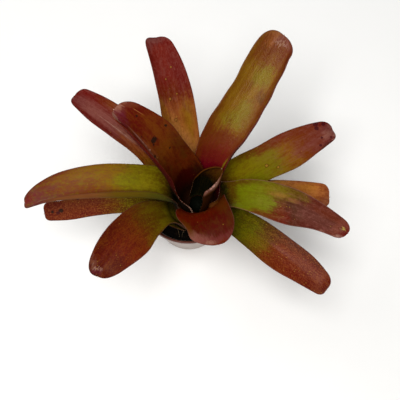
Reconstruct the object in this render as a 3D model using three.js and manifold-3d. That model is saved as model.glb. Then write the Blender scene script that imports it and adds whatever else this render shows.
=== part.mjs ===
// A young potted neoregelia: a rosette of thick gutter-shaped leaves whose sheaths
// nest round a short stem, standing in soil in a small round pot.
// Millimetres, +Z up. The pot stands on z = 0 with its centre at the origin.

import * as THREE from 'three';
import { mergeVertices } from 'three/addons/utils/BufferGeometryUtils.js';
import Module from 'manifold-3d';

const DEG = Math.PI / 180;
const GAP = 0.3; // clearance left between neighbouring pieces

// Pot: a thin moulded wall that widens to a turned-out lip.
const POT_HEIGHT = 52;
const POT_FOOT_RADIUS = 21;
const POT_FOOT_BEVEL = 0.8;
const POT_SHOULDER_RADIUS = 28.4;
const POT_LIP_RADIUS = 30;
const POT_LIP_DEPTH = 4.5;
const POT_LIP_BEVEL = 0.5;
const POT_LIP_ROUND = 0.3;
const POT_WALL = 1.2;
const POT_FLOOR = 2;
const POT_FLOOR_BEVEL = 1;
const POT_FACETS = 64;
const DRAIN_COUNT = 4;
const DRAIN_RADIUS = 2.5;
const DRAIN_CIRCLE = 13;
const DRAIN_FACETS = 20;

// Soil: fills the pot to a little below the lip, with a slightly uneven top.
const SOIL_TOP = 44;
const SOIL_BEVEL = 1.4;
const SOIL_RINGS = 7;
const SOIL_FACETS = 40;
const SOIL_WAVES = [
  { height: 0.5, x: 0.55, y: 0.48, phase: 1 },
  { height: 0.25, x: 1.1, y: 0.9, phase: 0 },
];

// Stem: stands a little off the middle of the pot, as the plant has grown.
const PLANT_X = 6;
const PLANT_Y = -7;
const STEM_RADIUS = 5;
const STEM_FOOT = 28;
const STEM_FOOT_BEVEL = 1;
const STEM_TOP = 61;
const STEM_CROWN = [[0, 3], [0.8, 1.2], [2.4, 0.3]]; // set in from the side, down from the top
const STEM_FACETS = 28;

// Sheath rings from the oldest leaves inwards: the radius that a sheath reaches
// and the height of its neck, where the blade begins.
const RINGS = [
  { radius: 19.0, neck: 61 },
  { radius: 17.5, neck: 64 },
  { radius: 16.1, neck: 67 },
  { radius: 14.7, neck: 70 },
  { radius: 13.2, neck: 73 },
  { radius: 11.5, neck: 77 },
  { radius: 9.8, neck: 82 },
  { radius: 6.2, neck: 84 },
];
const LEAF_FOOT_HEIGHT = 46; // where the lowest ring joins the stem
const LEAF_FOOT_STEP = 1.8; // how much higher each ring inwards joins it
const LEAF_FOOT_RADIUS = STEM_RADIUS + 0.45; // half a leaf's thickness of standing clear
const FOOT_ANGLE = 18; // slope with which a sheath leaves the stem
const SHEATH_ANGLE = 80; // slope that it has reached at its full radius
const FLARE_RUN = 0.585; // outward and upward travel for 1 mm along that bend
const FLARE_RISE = 0.75;
const SHEATH_RISE = 0.98; // upward travel for 1 mm along the sheath above it
const SHEATH_SHORTEST = 2;
const SHEATH_WIDEST = 1.05; // a sheath hugs the axis out to this share of its radius
const OPENS_BELOW = 0.35; // share of the sheath, under the neck, that starts to open
const OPENS_ABOVE = 18; // and how far into the blade it is wholly open
const OPENS_SHARE = 0.5; // or this share of a short blade

const THICK_MIDDLE = 1.1;
const THICK_EDGE = 0.7;
const ROLLED_FULLY = 0.6; // share of the blade in which it reaches its roll
const CURL_STARTS = 0.35; // margins curl over this part of the half width
const CURL_ENDS = 0.95;
const CURL_GROWS = [0.05, 0.35]; // and along this part of the blade
const CURL_LOST_AT_TIP = 0.8;

// Leaves. heading is the compass angle in plan, anticlockwise from +X, and turn is
// how far the blade swings on from it; rise holds the slope along the blade from neck
// to tip; left and right hold the widths on either side of the midrib, seen looking
// out along the leaf; wrap is half the angle that the sheath spans; gutter is half
// the angle of the blade's section at the neck and at the tip; curl is how much
// further its left and right margins turn up; roll tips the section sideways; tip is
// the length of the rounded end, blunt how square it is and hook how far it bends
// down.
const LEAVES = [
  {
    name: 'leaf_right_low', ring: 1, heading: 0, turn: -2, length: 60, rise: [46, 14, -4, -12],
    left: [8, 8, 8.5, 8, 7.5, 7], right: [8, 8, 8.5, 8, 7.5, 7],
    wrap: 46, gutter: [22, 16], curl: [0, 0], roll: 0, tip: 6, blunt: 2.3,
    hook: 32, colour: 0x9c6331,
  },
  {
    name: 'leaf_left_low', ring: 1, heading: 187.5, turn: 0, length: 73, rise: [50, 9.5, -12.5, -5.5],
    left: [7.8, 7, 6.4, 6.4, 6.6, 4.7], right: [7.7, 7, 6.5, 6, 5.5, 6],
    wrap: 58, gutter: [22, 14], curl: [0, 0], roll: -8.5, tip: 4.5, blunt: 2.5,
    hook: 34, colour: 0x743018,
  },
  {
    name: 'leaf_right_back', ring: 2, heading: 22.5, turn: 4.5, length: 76.5, rise: [57, 21.5, 6.5, -7.5],
    left: [11, 12.5, 11, 11, 9, 5.5], right: [10.5, 11, 11, 12, 9, 5.5],
    wrap: 50, gutter: [33, 20], curl: [0, 0], roll: 4, tip: 8.4, blunt: 2.6,
    hook: 42, colour: 0x7a5a18,
  },
  {
    name: 'leaf_front_left', ring: 2, heading: 214, turn: 23, length: 72.5, rise: [79, 38, 1, -6.5],
    left: [4, 7, 10.5, 14, 11.5, 5.5], right: [4, 8.5, 12, 12.5, 11, 6.5],
    wrap: 37, gutter: [51, 25.5], curl: [0, 0], roll: -18.5, tip: 9.2, blunt: 2.6,
    hook: 46, colour: 0x6b2814,
  },
  {
    name: 'leaf_left_back', ring: 3, heading: 141, turn: 7, length: 82, rise: [60.5, 36.5, 12.5, -0.5],
    left: [9, 9.5, 8.5, 9.5, 9, 5], right: [8.5, 9, 9, 9.5, 8.5, 6],
    wrap: 36, gutter: [35, 13.5], curl: [0, 0], roll: 5.5, tip: 5.9, blunt: 2.4,
    hook: 39, colour: 0x7c3424,
  },
  {
    name: 'leaf_front_right', ring: 3, heading: 319, turn: 3.5, length: 82.5, rise: [60.5, 22, -5, -14],
    left: [7.5, 9.5, 10, 9.5, 9, 5.5], right: [7, 7.5, 9.5, 11, 8.5, 5.5],
    wrap: 56, gutter: [36.5, 22], curl: [0, 0], roll: 2.5, tip: 7.1, blunt: 2.5,
    hook: 37.5, colour: 0x7a4024,
  },
  {
    name: 'leaf_back_left', ring: 4, heading: 105, turn: 4.5, length: 86, rise: [65, 46, 36, 9.5],
    left: [6, 9.5, 11.5, 10, 8.5, 7.5], right: [6, 8.5, 10, 11, 10, 6.5],
    wrap: 56, gutter: [35.5, 24.5], curl: [0, 0], roll: 12.5, tip: 8.4, blunt: 2.3,
    hook: 48, colour: 0x8a3f28,
  },
  {
    name: 'leaf_right', ring: 5, heading: 347, turn: -16, length: 85, rise: [78, 21, -1, -7.5],
    left: [7, 9.5, 10, 9.5, 7, 4], right: [4, 7.5, 10.5, 11.5, 7.5, 5.5],
    wrap: 56, gutter: [52, 21], curl: [0, 0], roll: 21, tip: 6.8, blunt: 2,
    hook: 43, colour: 0x785018,
  },
  {
    name: 'leaf_left', ring: 5, heading: 187.5, turn: 2, length: 101, rise: [89, 28.5, -4, -20.5],
    left: [6, 12, 13.5, 11.5, 7.5, 6.5], right: [9, 12.5, 12, 12, 10, 3.5],
    wrap: 36, gutter: [62.5, 26.5], curl: [92, 0], roll: -3, tip: 12.4, blunt: 3.1,
    hook: 12, colour: 0x6e5614,
  },
  {
    name: 'leaf_back_right', ring: 6, heading: 57, turn: 1, length: 96, rise: [82, 39, 3.5, 21],
    left: [9, 13.5, 14.5, 12.5, 12.5, 11.5], right: [7, 11.5, 16.5, 16.5, 14, 9.5],
    wrap: 50, gutter: [63, 30], curl: [0, 66], roll: 19, tip: 11.2, blunt: 2,
    hook: 24.5, colour: 0x865c24,
  },
  {
    name: 'leaf_front', ring: 6, heading: 285, turn: 8, length: 38.5, rise: [90, 74, 19, -40],
    left: [20.5, 17.5, 14.5, 14, 13, 10.5], right: [18.5, 18.5, 16, 13.5, 13.5, 10],
    wrap: 61, gutter: [40, 17], curl: [0, 0], roll: 13, tip: 11.4, blunt: 1.8,
    hook: 17.5, colour: 0x55180c,
  },
  {
    name: 'leaf_upright', ring: 7, heading: 150, turn: 2.5, length: 72.5, rise: [84, 66.5, 57, 39],
    left: [15, 15, 14.5, 13.5, 11, 7], right: [15, 15, 14, 14, 11, 7],
    wrap: 105, gutter: [58, 33], curl: [50, 0], roll: 2.5, tip: 8.7, blunt: 2.3,
    hook: 44, colour: 0x5c2010,
  },
  {
    name: 'leaf_young', ring: 8, heading: 30, turn: -3.5, length: 15.5, rise: [85, 76.5, 72, 63],
    left: [13.5, 13, 12.5, 11, 8.5, 5], right: [13, 13, 12.5, 11.5, 9.5, 6],
    wrap: 112, gutter: [128, 90], curl: [0, 29], roll: 15.5, tip: 7.2, blunt: 2.3,
    hook: 30, colour: 0x4a4a14,
  },
];
const ROWS_SHEATH = 6; // stations along the sheath, the blade and the rounded tip
const ROWS_BLADE = 12;
const ROWS_TIP = 6;
const TIP_REACH = 0.995; // share of the tip's length at which it is cut off square
const ROW_SUBSTEPS = 8;
const CELLS_FLAT = 8; // cells across a shallow leaf and across a widely curved one
const CELLS_CURVED = 10;
const CURVED_FROM = 50; // degrees of half section
const CELL_SUBSTEPS = 6;

const clamp01 = (value) => Math.min(1, Math.max(0, value));

function smoothStep(from, to, value) {
  const t = clamp01((value - from) / (to - from));
  return t * t * (3 - 2 * t);
}

// A cubic Bezier through control values a, b, c, d at u from 0 to 1.
function bezier([a, b, c, d], u) {
  const v = 1 - u;
  return a * v ** 3 + 3 * b * u * v ** 2 + 3 * c * u ** 2 * v + d * u ** 3;
}

// A smooth curve that passes through evenly spaced values, at u from 0 to 1.
function through(values, u) {
  const last = values.length - 1;
  const place = clamp01(u) * last;
  const i = Math.min(Math.floor(place), last - 1);
  const f = place - i;
  const b = values[i];
  const c = values[i + 1];
  const a = i > 0 ? values[i - 1] : 2 * b - c;
  const d = i + 2 <= last ? values[i + 2] : 2 * c - b;
  return b + 0.5 * f * (c - a + f * (2 * a - 5 * b + 4 * c - d + f * (3 * (b - c) + d - a)));
}

function material(colour, roughness) {
  return new THREE.MeshStandardMaterial({ color: colour, roughness, metalness: 0, side: THREE.FrontSide });
}

// Lengths along the midrib at which a leaf's foot bend, sheath and blade end.
function leafStages(leaf) {
  const ring = RINGS[leaf.ring - 1];
  const foot = LEAF_FOOT_HEIGHT + LEAF_FOOT_STEP * (leaf.ring - 1);
  const flare = (ring.radius - LEAF_FOOT_RADIUS) / FLARE_RUN;
  const straight = Math.max(SHEATH_SHORTEST, (ring.neck - foot - FLARE_RISE * flare) / SHEATH_RISE);
  const neck = flare + straight;
  return { foot, radius: ring.radius, flare, straight, neck, end: neck + leaf.length };
}

// Slope of the midrib in degrees: the foot bends up, the sheath stands nearly
// straight, the blade arches over and the rounded tip hooks down.
function midribSlope(leaf, stages, s) {
  if (s < stages.flare) return FOOT_ANGLE + (SHEATH_ANGLE - FOOT_ANGLE) * (s / stages.flare);
  if (s < stages.neck) {
    return SHEATH_ANGLE + (leaf.rise[0] - SHEATH_ANGLE) * ((s - stages.flare) / stages.straight);
  }
  const along = (s - stages.neck) / leaf.length;
  const bent = clamp01((s - stages.end + leaf.tip) / leaf.tip);
  return bezier(leaf.rise, along) - leaf.hook * bent;
}

// Unit vectors at s: along the midrib, level across the leaf, and up out of its
// hollow side.
function midribFrame(leaf, stages, s) {
  const along = clamp01((s - stages.neck) / leaf.length);
  const heading = (leaf.heading + leaf.turn * smoothStep(0, 1, along)) * DEG;
  const slope = midribSlope(leaf, stages, s) * DEG;
  const [ch, sh, cs, ss] = [Math.cos(heading), Math.sin(heading), Math.cos(slope), Math.sin(slope)];
  return {
    along: new THREE.Vector3(cs * ch, cs * sh, ss),
    across: new THREE.Vector3(-sh, ch, 0),
    up: new THREE.Vector3(-ss * ch, -ss * sh, cs),
  };
}

// Stations from foot to tip, closer together where the tip rounds off.
function leafStations(leaf, stages) {
  const tipStart = stages.end - leaf.tip;
  const stations = [];
  for (let i = 0; i < ROWS_SHEATH; i += 1) stations.push((stages.neck * i) / ROWS_SHEATH);
  for (let i = 0; i < ROWS_BLADE; i += 1) {
    stations.push(stages.neck + ((tipStart - stages.neck) * i) / ROWS_BLADE);
  }
  for (let i = 0; i <= ROWS_TIP; i += 1) {
    stations.push(tipStart + leaf.tip * TIP_REACH * Math.sin((i / ROWS_TIP) * 90 * DEG));
  }
  return stations;
}

// Points of the midrib at the stations, by walking along its changing direction.
function midribPoints(leaf, stages, stations) {
  const heading = leaf.heading * DEG;
  const point = new THREE.Vector3(
    PLANT_X + LEAF_FOOT_RADIUS * Math.cos(heading),
    PLANT_Y + LEAF_FOOT_RADIUS * Math.sin(heading),
    stages.foot,
  );
  const points = [point.clone()];
  for (let i = 1; i < stations.length; i += 1) {
    const step = (stations[i] - stations[i - 1]) / ROW_SUBSTEPS;
    for (let k = 0; k < ROW_SUBSTEPS; k += 1) {
      const middle = stations[i - 1] + (k + 0.5) * step;
      point.addScaledVector(midribFrame(leaf, stages, middle).along, step);
    }
    points.push(point.clone());
  }
  return points;
}

// One half of a section in its own plane, out from the midrib: a line whose tilt
// grows evenly to the spread angle, and by the curl as well near the margin.
function halfSection(half, spread, curl, cells) {
  const steps = cells * CELL_SUBSTEPS;
  const points = [];
  let [x, z] = [0, 0];
  for (let k = 0; k < steps; k += 1) {
    const t = (k + 0.5) / steps;
    const tilt = spread * t + curl * smoothStep(CURL_STARTS, CURL_ENDS, t);
    x += (half / steps) * Math.cos(tilt);
    z += (half / steps) * Math.sin(tilt);
    if ((k + 1) % CELL_SUBSTEPS === 0) points.push([x, z]);
  }
  return points;
}

// One row of middle-surface points from the right margin to the left: it hugs the
// growing axis in the sheath and opens into the blade's gutter past the neck.
function leafRow(leaf, stages, s, centre, cells) {
  const frame = midribFrame(leaf, stages, s);
  const opens = Math.min(OPENS_ABOVE, OPENS_SHARE * leaf.length);
  const sheath = 1 - smoothStep(stages.neck - OPENS_BELOW * stages.straight, stages.neck + opens, s);
  const along = clamp01((s - stages.neck) / leaf.length);
  const intoTip = clamp01((s - stages.end + leaf.tip) / leaf.tip);
  const tipWidth = (1 - intoTip ** leaf.blunt) ** (1 / leaf.blunt);
  const fromAxis = Math.hypot(centre.x - PLANT_X, centre.y - PLANT_Y);
  const wrap = leaf.wrap * DEG;
  const gutter = (leaf.gutter[0] + (leaf.gutter[1] - leaf.gutter[0]) * along) * DEG;
  const spread = sheath * wrap + (1 - sheath) * gutter;
  const sheathHalf = wrap * Math.min(fromAxis, stages.radius * SHEATH_WIDEST);
  const half = (side) => (sheath * sheathHalf + (1 - sheath) * through(side, along)) * tipWidth;
  const grown = smoothStep(CURL_GROWS[0], CURL_GROWS[1], along) * (1 - CURL_LOST_AT_TIP * intoTip);
  const left = halfSection(half(leaf.left), spread, grown * leaf.curl[0] * DEG, cells / 2);
  const right = halfSection(half(leaf.right), spread, grown * leaf.curl[1] * DEG, cells / 2);
  const section = [...right.map(([x, z]) => [-x, z]).reverse(), [0, 0], ...left];

  const inwards = new THREE.Vector3(-Math.cos(leaf.heading * DEG), -Math.sin(leaf.heading * DEG), 0);
  const up = inwards.multiplyScalar(sheath).addScaledVector(frame.up, 1 - sheath);
  up.addScaledVector(frame.across, -up.dot(frame.across)).normalize();
  const roll = leaf.roll * DEG * smoothStep(0, ROLLED_FULLY, along);
  const across = frame.across.clone().multiplyScalar(Math.cos(roll)).addScaledVector(up, Math.sin(roll));
  const lift = up.clone().multiplyScalar(Math.cos(roll)).addScaledVector(frame.across, -Math.sin(roll));
  return section.map(([x, z]) => centre.clone().addScaledVector(across, x).addScaledVector(lift, z));
}

// Closes two sheets of points, split into triangles alike, into one thin solid.
function thickSheet(rows, thicknessAt) {
  const last = rows.length - 1;
  const width = rows[0].length;
  const positions = [[], []];
  rows.forEach((row, i) => row.forEach((point, j) => {
    const along = new THREE.Vector3().subVectors(
      rows[Math.min(i + 1, last)][j], rows[Math.max(i - 1, 0)][j]);
    const across = new THREE.Vector3().subVectors(
      row[Math.min(j + 1, width - 1)], row[Math.max(j - 1, 0)]);
    const normal = along.cross(across).normalize();
    const offset = thicknessAt((2 * j) / (width - 1) - 1) / 2;
    positions[0].push(...point.clone().addScaledVector(normal, offset).toArray());
    positions[1].push(...point.clone().addScaledVector(normal, -offset).toArray());
  }));
  const under = rows.length * width;
  const at = (i, j) => i * width + j;
  const indices = [];
  for (let i = 0; i < last; i += 1) {
    for (let j = 0; j < width - 1; j += 1) {
      const [a, b, c, d] = [at(i, j), at(i + 1, j), at(i + 1, j + 1), at(i, j + 1)];
      indices.push(a, b, c, a, c, d);
      indices.push(under + a, under + c, under + b, under + a, under + d, under + c);
    }
  }
  const rim = [];
  for (let i = 0; i < last; i += 1) rim.push(at(i, 0));
  for (let j = 0; j < width - 1; j += 1) rim.push(at(last, j));
  for (let i = last; i > 0; i -= 1) rim.push(at(i, width - 1));
  for (let j = width - 1; j > 0; j -= 1) rim.push(at(0, j));
  rim.forEach((a, k) => {
    const b = rim[(k + 1) % rim.length];
    indices.push(b, a, under + a, b, under + a, under + b);
  });
  const geometry = new THREE.BufferGeometry();
  geometry.setAttribute('position', new THREE.Float32BufferAttribute(positions.flat(), 3));
  geometry.setIndex(indices);
  geometry.computeVertexNormals();
  return geometry;
}

function leafGeometry(leaf) {
  const stages = leafStages(leaf);
  const stations = leafStations(leaf, stages);
  const centres = midribPoints(leaf, stages, stations);
  const cells = Math.max(leaf.wrap, leaf.gutter[0]) > CURVED_FROM ? CELLS_CURVED : CELLS_FLAT;
  const rows = stations.map((s, i) => leafRow(leaf, stages, s, centres[i], cells));
  return thickSheet(rows, (t) => THICK_MIDDLE - (THICK_MIDDLE - THICK_EDGE) * t ** 2);
}

// Outside radius of the pot's wall at a height below the shoulder.
function potRadius(z) {
  const shoulder = POT_HEIGHT - POT_LIP_DEPTH;
  return POT_FOOT_RADIUS + (POT_SHOULDER_RADIUS - POT_FOOT_RADIUS) * (z / shoulder);
}

const wasm = await Module();
wasm.setup();

function toManifold(geometry) {
  const bare = geometry.clone();
  bare.deleteAttribute('normal');
  bare.deleteAttribute('uv');
  const merged = mergeVertices(bare, 1e-4);
  return new wasm.Manifold(new wasm.Mesh({
    numProp: 3,
    vertProperties: new Float32Array(merged.attributes.position.array),
    triVerts: new Uint32Array(merged.index.array),
  }));
}

function toGeometry(solid) {
  const mesh = solid.getMesh();
  const geometry = new THREE.BufferGeometry();
  geometry.setAttribute('position', new THREE.BufferAttribute(mesh.vertProperties, 3));
  geometry.setIndex(new THREE.BufferAttribute(mesh.triVerts, 1));
  geometry.computeVertexNormals();
  return geometry;
}

// A solid of revolution about +Z from [radius, height] pairs that start and end on the axis.
function turned(profile, facets) {
  const geometry = new THREE.LatheGeometry(profile.map(([r, z]) => new THREE.Vector2(r, z)), facets);
  return geometry.rotateX(90 * DEG);
}

function uprightCylinder(radius, height, x, y, middle, facets) {
  const geometry = new THREE.CylinderGeometry(radius, radius, height, facets);
  return geometry.rotateX(90 * DEG).translate(x, y, middle);
}

function potGeometry() {
  const shoulder = POT_HEIGHT - POT_LIP_DEPTH;
  const lipInside = POT_LIP_RADIUS - POT_WALL;
  const filletTop = POT_FLOOR + POT_FLOOR_BEVEL;
  const shell = turned([
    [0, 0],
    [POT_FOOT_RADIUS - POT_FOOT_BEVEL, 0],
    [potRadius(POT_FOOT_BEVEL), POT_FOOT_BEVEL],
    [POT_SHOULDER_RADIUS, shoulder],
    [POT_LIP_RADIUS - POT_LIP_ROUND, shoulder + POT_LIP_BEVEL],
    [POT_LIP_RADIUS, POT_HEIGHT - POT_LIP_BEVEL - POT_LIP_ROUND],
    [POT_LIP_RADIUS - POT_LIP_ROUND, POT_HEIGHT - POT_LIP_ROUND / 3],
    [lipInside + POT_LIP_ROUND, POT_HEIGHT],
    [lipInside, POT_HEIGHT - POT_LIP_BEVEL],
    [POT_SHOULDER_RADIUS - POT_WALL, shoulder - POT_LIP_BEVEL],
    [potRadius(filletTop) - POT_WALL, filletTop],
    [potRadius(POT_FLOOR) - POT_WALL - POT_FLOOR_BEVEL, POT_FLOOR],
    [0, POT_FLOOR],
  ], POT_FACETS);
  let pot = toManifold(shell);
  for (let i = 0; i < DRAIN_COUNT; i += 1) {
    const angle = ((i + 0.5) * 360 * DEG) / DRAIN_COUNT;
    const [x, y] = [DRAIN_CIRCLE * Math.cos(angle), DRAIN_CIRCLE * Math.sin(angle)];
    pot = pot.subtract(toManifold(uprightCylinder(DRAIN_RADIUS, POT_FLOOR * 4, x, y, 0, DRAIN_FACETS)));
  }
  return toGeometry(pot);
}

// Soil: its top is a little uneven, and the stem stands in a plain hole in it.
function soilGeometry() {
  const inside = (z) => potRadius(z) - POT_WALL - GAP;
  const bottom = POT_FLOOR + GAP;
  const top = Array.from({ length: SOIL_RINGS }, (_, i) => [
    inside(SOIL_TOP) * (1 - i / SOIL_RINGS), SOIL_TOP]);
  const filling = turned([
    [0, bottom],
    [inside(bottom) - SOIL_BEVEL, bottom],
    [inside(bottom + POT_FLOOR_BEVEL), bottom + POT_FLOOR_BEVEL],
    ...top,
    [0, SOIL_TOP],
  ], SOIL_FACETS);
  const position = filling.attributes.position;
  for (let i = 0; i < position.count; i += 1) {
    if (position.getZ(i) < SOIL_TOP - GAP) continue;
    const bump = SOIL_WAVES.reduce((sum, wave) => sum + wave.height
      * Math.sin(wave.x * position.getX(i) + wave.phase) * Math.cos(wave.y * position.getY(i)), 0);
    position.setZ(i, SOIL_TOP + bump);
  }
  const foot = STEM_FOOT - GAP;
  const depth = POT_HEIGHT - foot;
  const hole = uprightCylinder(STEM_RADIUS + GAP, depth, PLANT_X, PLANT_Y, foot + depth / 2, STEM_FACETS);
  return toGeometry(toManifold(filling).subtract(toManifold(hole)));
}

function stemGeometry() {
  const stem = turned([
    [0, STEM_FOOT],
    [STEM_RADIUS - STEM_FOOT_BEVEL, STEM_FOOT],
    [STEM_RADIUS, STEM_FOOT + STEM_FOOT_BEVEL],
    ...STEM_CROWN.map(([inset, down]) => [STEM_RADIUS - inset, STEM_TOP - down]),
    [0, STEM_TOP],
  ], STEM_FACETS);
  return toGeometry(toManifold(stem).translate([PLANT_X, PLANT_Y, 0]));
}

function part(name, geometry, finish) {
  const mesh = new THREE.Mesh(geometry, finish);
  mesh.name = name;
  return mesh;
}

const bromeliad = new THREE.Group();
bromeliad.add(part('pot', potGeometry(), material(0x8a7068, 0.55)));
bromeliad.add(part('soil', soilGeometry(), material(0x15100c, 0.95)));
bromeliad.add(part('stem', stemGeometry(), material(0x6f7440, 0.7)));
for (const leaf of LEAVES) {
  bromeliad.add(part(leaf.name, leafGeometry(leaf), material(leaf.colour, 0.4)));
}

export default bromeliad;
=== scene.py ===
"""A young neoregelia in its nursery pot: pot, soil, stem and thirteen leaves."""
import bpy
import numpy as np
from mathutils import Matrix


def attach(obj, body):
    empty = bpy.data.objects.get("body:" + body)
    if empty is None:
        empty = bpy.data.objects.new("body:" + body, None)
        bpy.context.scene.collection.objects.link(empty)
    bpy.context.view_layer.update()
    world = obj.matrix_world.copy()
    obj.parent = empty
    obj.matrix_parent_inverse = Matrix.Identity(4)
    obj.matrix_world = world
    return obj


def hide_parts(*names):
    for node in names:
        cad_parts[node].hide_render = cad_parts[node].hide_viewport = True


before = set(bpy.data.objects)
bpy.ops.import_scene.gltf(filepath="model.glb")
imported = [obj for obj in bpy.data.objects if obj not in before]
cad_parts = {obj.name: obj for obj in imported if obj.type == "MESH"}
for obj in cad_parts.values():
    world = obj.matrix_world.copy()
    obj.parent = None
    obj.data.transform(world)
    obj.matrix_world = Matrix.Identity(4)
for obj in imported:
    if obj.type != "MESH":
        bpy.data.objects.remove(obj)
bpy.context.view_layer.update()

# ---------------------------------------------------------------------------------------
# Pot. A thin nursery pot moulded in one piece of pale plastic, with a terracotta coloured
# turned-out lip and four drain holes in its floor. It stands on the flat ring of its foot.
# ---------------------------------------------------------------------------------------
MM = 0.001
POT_HEIGHT = 52.0
POT_FOOT_RADIUS = 21.0
POT_SHOULDER = 47.5
POT_SHOULDER_RADIUS = 28.4
POT_SLOPE = (POT_SHOULDER_RADIUS - POT_FOOT_RADIUS) / POT_SHOULDER
POT_LIP_RADIUS = 30.0
POT_WALL = 1.2
POT_FLOOR = 2.0
FOOT_ROUND = 0.8
LIP_ROUND = 0.6
UNDER_LIP_ROUND = 0.4
RIB_HEIGHT = 0.05
RIB_STEP = 6.5
RIB_START = 8.0
DRAIN_HOLES = 4
DRAIN_CIRCLE = 13.0
DRAIN_RADIUS = 2.5
PALE_PLASTIC = "bcaea6"
SHADED_PLASTIC = "a4938b"
TERRACOTTA = "54200c"
POT_DIRT = "4a3a30"


def clamp(value):
    """The value kept from 0 to 1."""
    return np.clip(value, 0.0, 1.0)


def smooth_step(start, end, value):
    """A soft rise from 0 at the start to 1 at the end: 3 x squared less 2 x cubed."""
    x = clamp((value - start) / (end - start))
    return x * x * (3 - 2 * x)


def full_turn(steps):
    """Even angles of one full turn, from 0."""
    return np.linspace(0, 2 * np.pi, steps, endpoint=False)


def make_piece(name, points, faces, materials, slots=None, smooth=True):
    """A mesh object from points in millimetres and faces as lists of point numbers; slots
    gives each face's place in the list of materials."""
    mesh = bpy.data.meshes.new(name)
    mesh.from_pydata((np.asarray(points) * MM).tolist(), [], faces)
    for material in materials:
        mesh.materials.append(material)
    if slots is not None:
        mesh.polygons.foreach_set("material_index", np.asarray(slots, dtype=np.int32))
    mesh.polygons.foreach_set("use_smooth", np.full(len(faces), smooth))
    mesh.update()
    piece = bpy.data.objects.new(name, mesh)
    bpy.context.scene.collection.objects.link(piece)
    return piece


def grid_faces(rows, columns, closed):
    """Quads of a grid of points numbered row by row. A closed grid joins its last column
    to its first."""
    i, j = np.meshgrid(np.arange(rows - 1), np.arange(columns - (not closed)), indexing="ij")
    k = (j + 1) % columns
    quads = [i * columns + j, i * columns + k, (i + 1) * columns + k, (i + 1) * columns + j]
    return np.stack(quads, -1).reshape(-1, 4).tolist()


def close_with_poles(rings, poles):
    """Points and faces of a closed solid: rings of points joined in order by quads, and at
    either end a pole that the nearest ring's points all meet in."""
    rows, columns = rings.shape[:2]
    faces = grid_faces(rows, columns, True)
    last = rows * columns
    for k in range(columns):
        after = (k + 1) % columns
        faces.append([last, after, k])
        faces.append([last + 1, last - columns + k, last - columns + after])
    return np.concatenate([rings.reshape(-1, 3), poles]), faces


def turned_solid(profile, segments):
    """A profile of [radius, height] pairs carried round the Z axis: x = r cos a, y = r sin a.
    The first and last pairs are on the axis and become poles."""
    radius, height = np.array(profile[1:-1], dtype=float).T[:, :, None]
    angle = full_turn(segments)
    rings = np.stack([radius * np.cos(angle), radius * np.sin(angle), height + 0 * angle], -1)
    return close_with_poles(rings, [[0, 0, profile[0][1]], [0, 0, profile[-1][1]]])


def fill(tree, made, inputs):
    """Fills a node's inputs, each with a value or joined to another node's output."""
    for key, value in inputs.items():
        if isinstance(value, bpy.types.NodeSocket):
            tree.links.new(value, made.inputs[key])
        else:
            made.inputs[key].default_value = value
    return made


def node(tree, kind, inputs=None, **settings):
    """One shader node with its settings and its filled inputs."""
    made = tree.nodes.new(kind)
    for key, value in settings.items():
        setattr(made, key, value)
    return fill(tree, made, inputs or {})


def sum_of(tree, operation, first, second=0.0, third=0.0):
    """The result of one sum on single values."""
    values = {0: first, 1: second, 2: third}
    return node(tree, "ShaderNodeMath", values, operation=operation).outputs[0]


def times(tree, first, second):
    """One value times another."""
    return sum_of(tree, "MULTIPLY", first, second)


def between(tree, value, low, high, to_low=0.0, to_high=1.0, ease="LINEAR"):
    """A value's place between low and high, kept inside the new range."""
    inputs = {0: value, 1: low, 2: high, 3: to_low, 4: to_high}
    return node(tree, "ShaderNodeMapRange", inputs, interpolation_type=ease).outputs[0]


def blend(tree, factor, first, second, mode="MIX"):
    """Mixes two colours by a factor from 0 to 1."""
    inputs = {0: factor, 6: first, 7: second}
    return node(tree, "ShaderNodeMix", inputs, data_type="RGBA", blend_type=mode).outputs[2]


def noise(tree, where, scale, detail=2.0, roughness=0.5):
    """Cloudy values about 0.5. Three scales stretch the place first, each along its axis."""
    if isinstance(scale, tuple):
        where = node(tree, "ShaderNodeMapping", {"Vector": where, "Scale": scale}).outputs[0]
        scale = 1.0
    inputs = {"Vector": where, "Scale": scale, "Detail": detail, "Roughness": roughness}
    return node(tree, "ShaderNodeTexNoise", inputs).outputs[0]


def colour(code):
    """A colour as the eye names it, such as 8a7068, in the linear values shaders use."""
    part = np.array([int(code[k:k + 2], 16) for k in (0, 2, 4)]) / 255
    line = np.where(part < 0.04045, part / 12.92, ((part + 0.055) / 1.055) ** 2.4)
    return (*[float(x) for x in line], 1.0)


def start_material(name, **finish):
    """A Principled material; finish names the sockets that are the same all over."""
    material = bpy.data.materials.new(name)
    material.use_nodes = True
    tree = material.node_tree
    skin = tree.nodes["Principled BSDF"]
    fill(tree, skin, {key.replace("_", " "): value for key, value in finish.items()})
    return material, tree, skin


def object_place(tree):
    """A point's place on its piece, in metres."""
    return node(tree, "ShaderNodeTexCoord").outputs["Object"]


def height_of(tree, where):
    """The height alone of a place."""
    return node(tree, "ShaderNodeSeparateXYZ", {0: where}).outputs["Z"]


def relief(tree, height, depth):
    """The normal of a surface raised by a height, where 1 stands for a depth in metres."""
    inputs = {"Height": height, "Strength": 1.0, "Distance": depth}
    return node(tree, "ShaderNodeBump", inputs).outputs[0]


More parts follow.
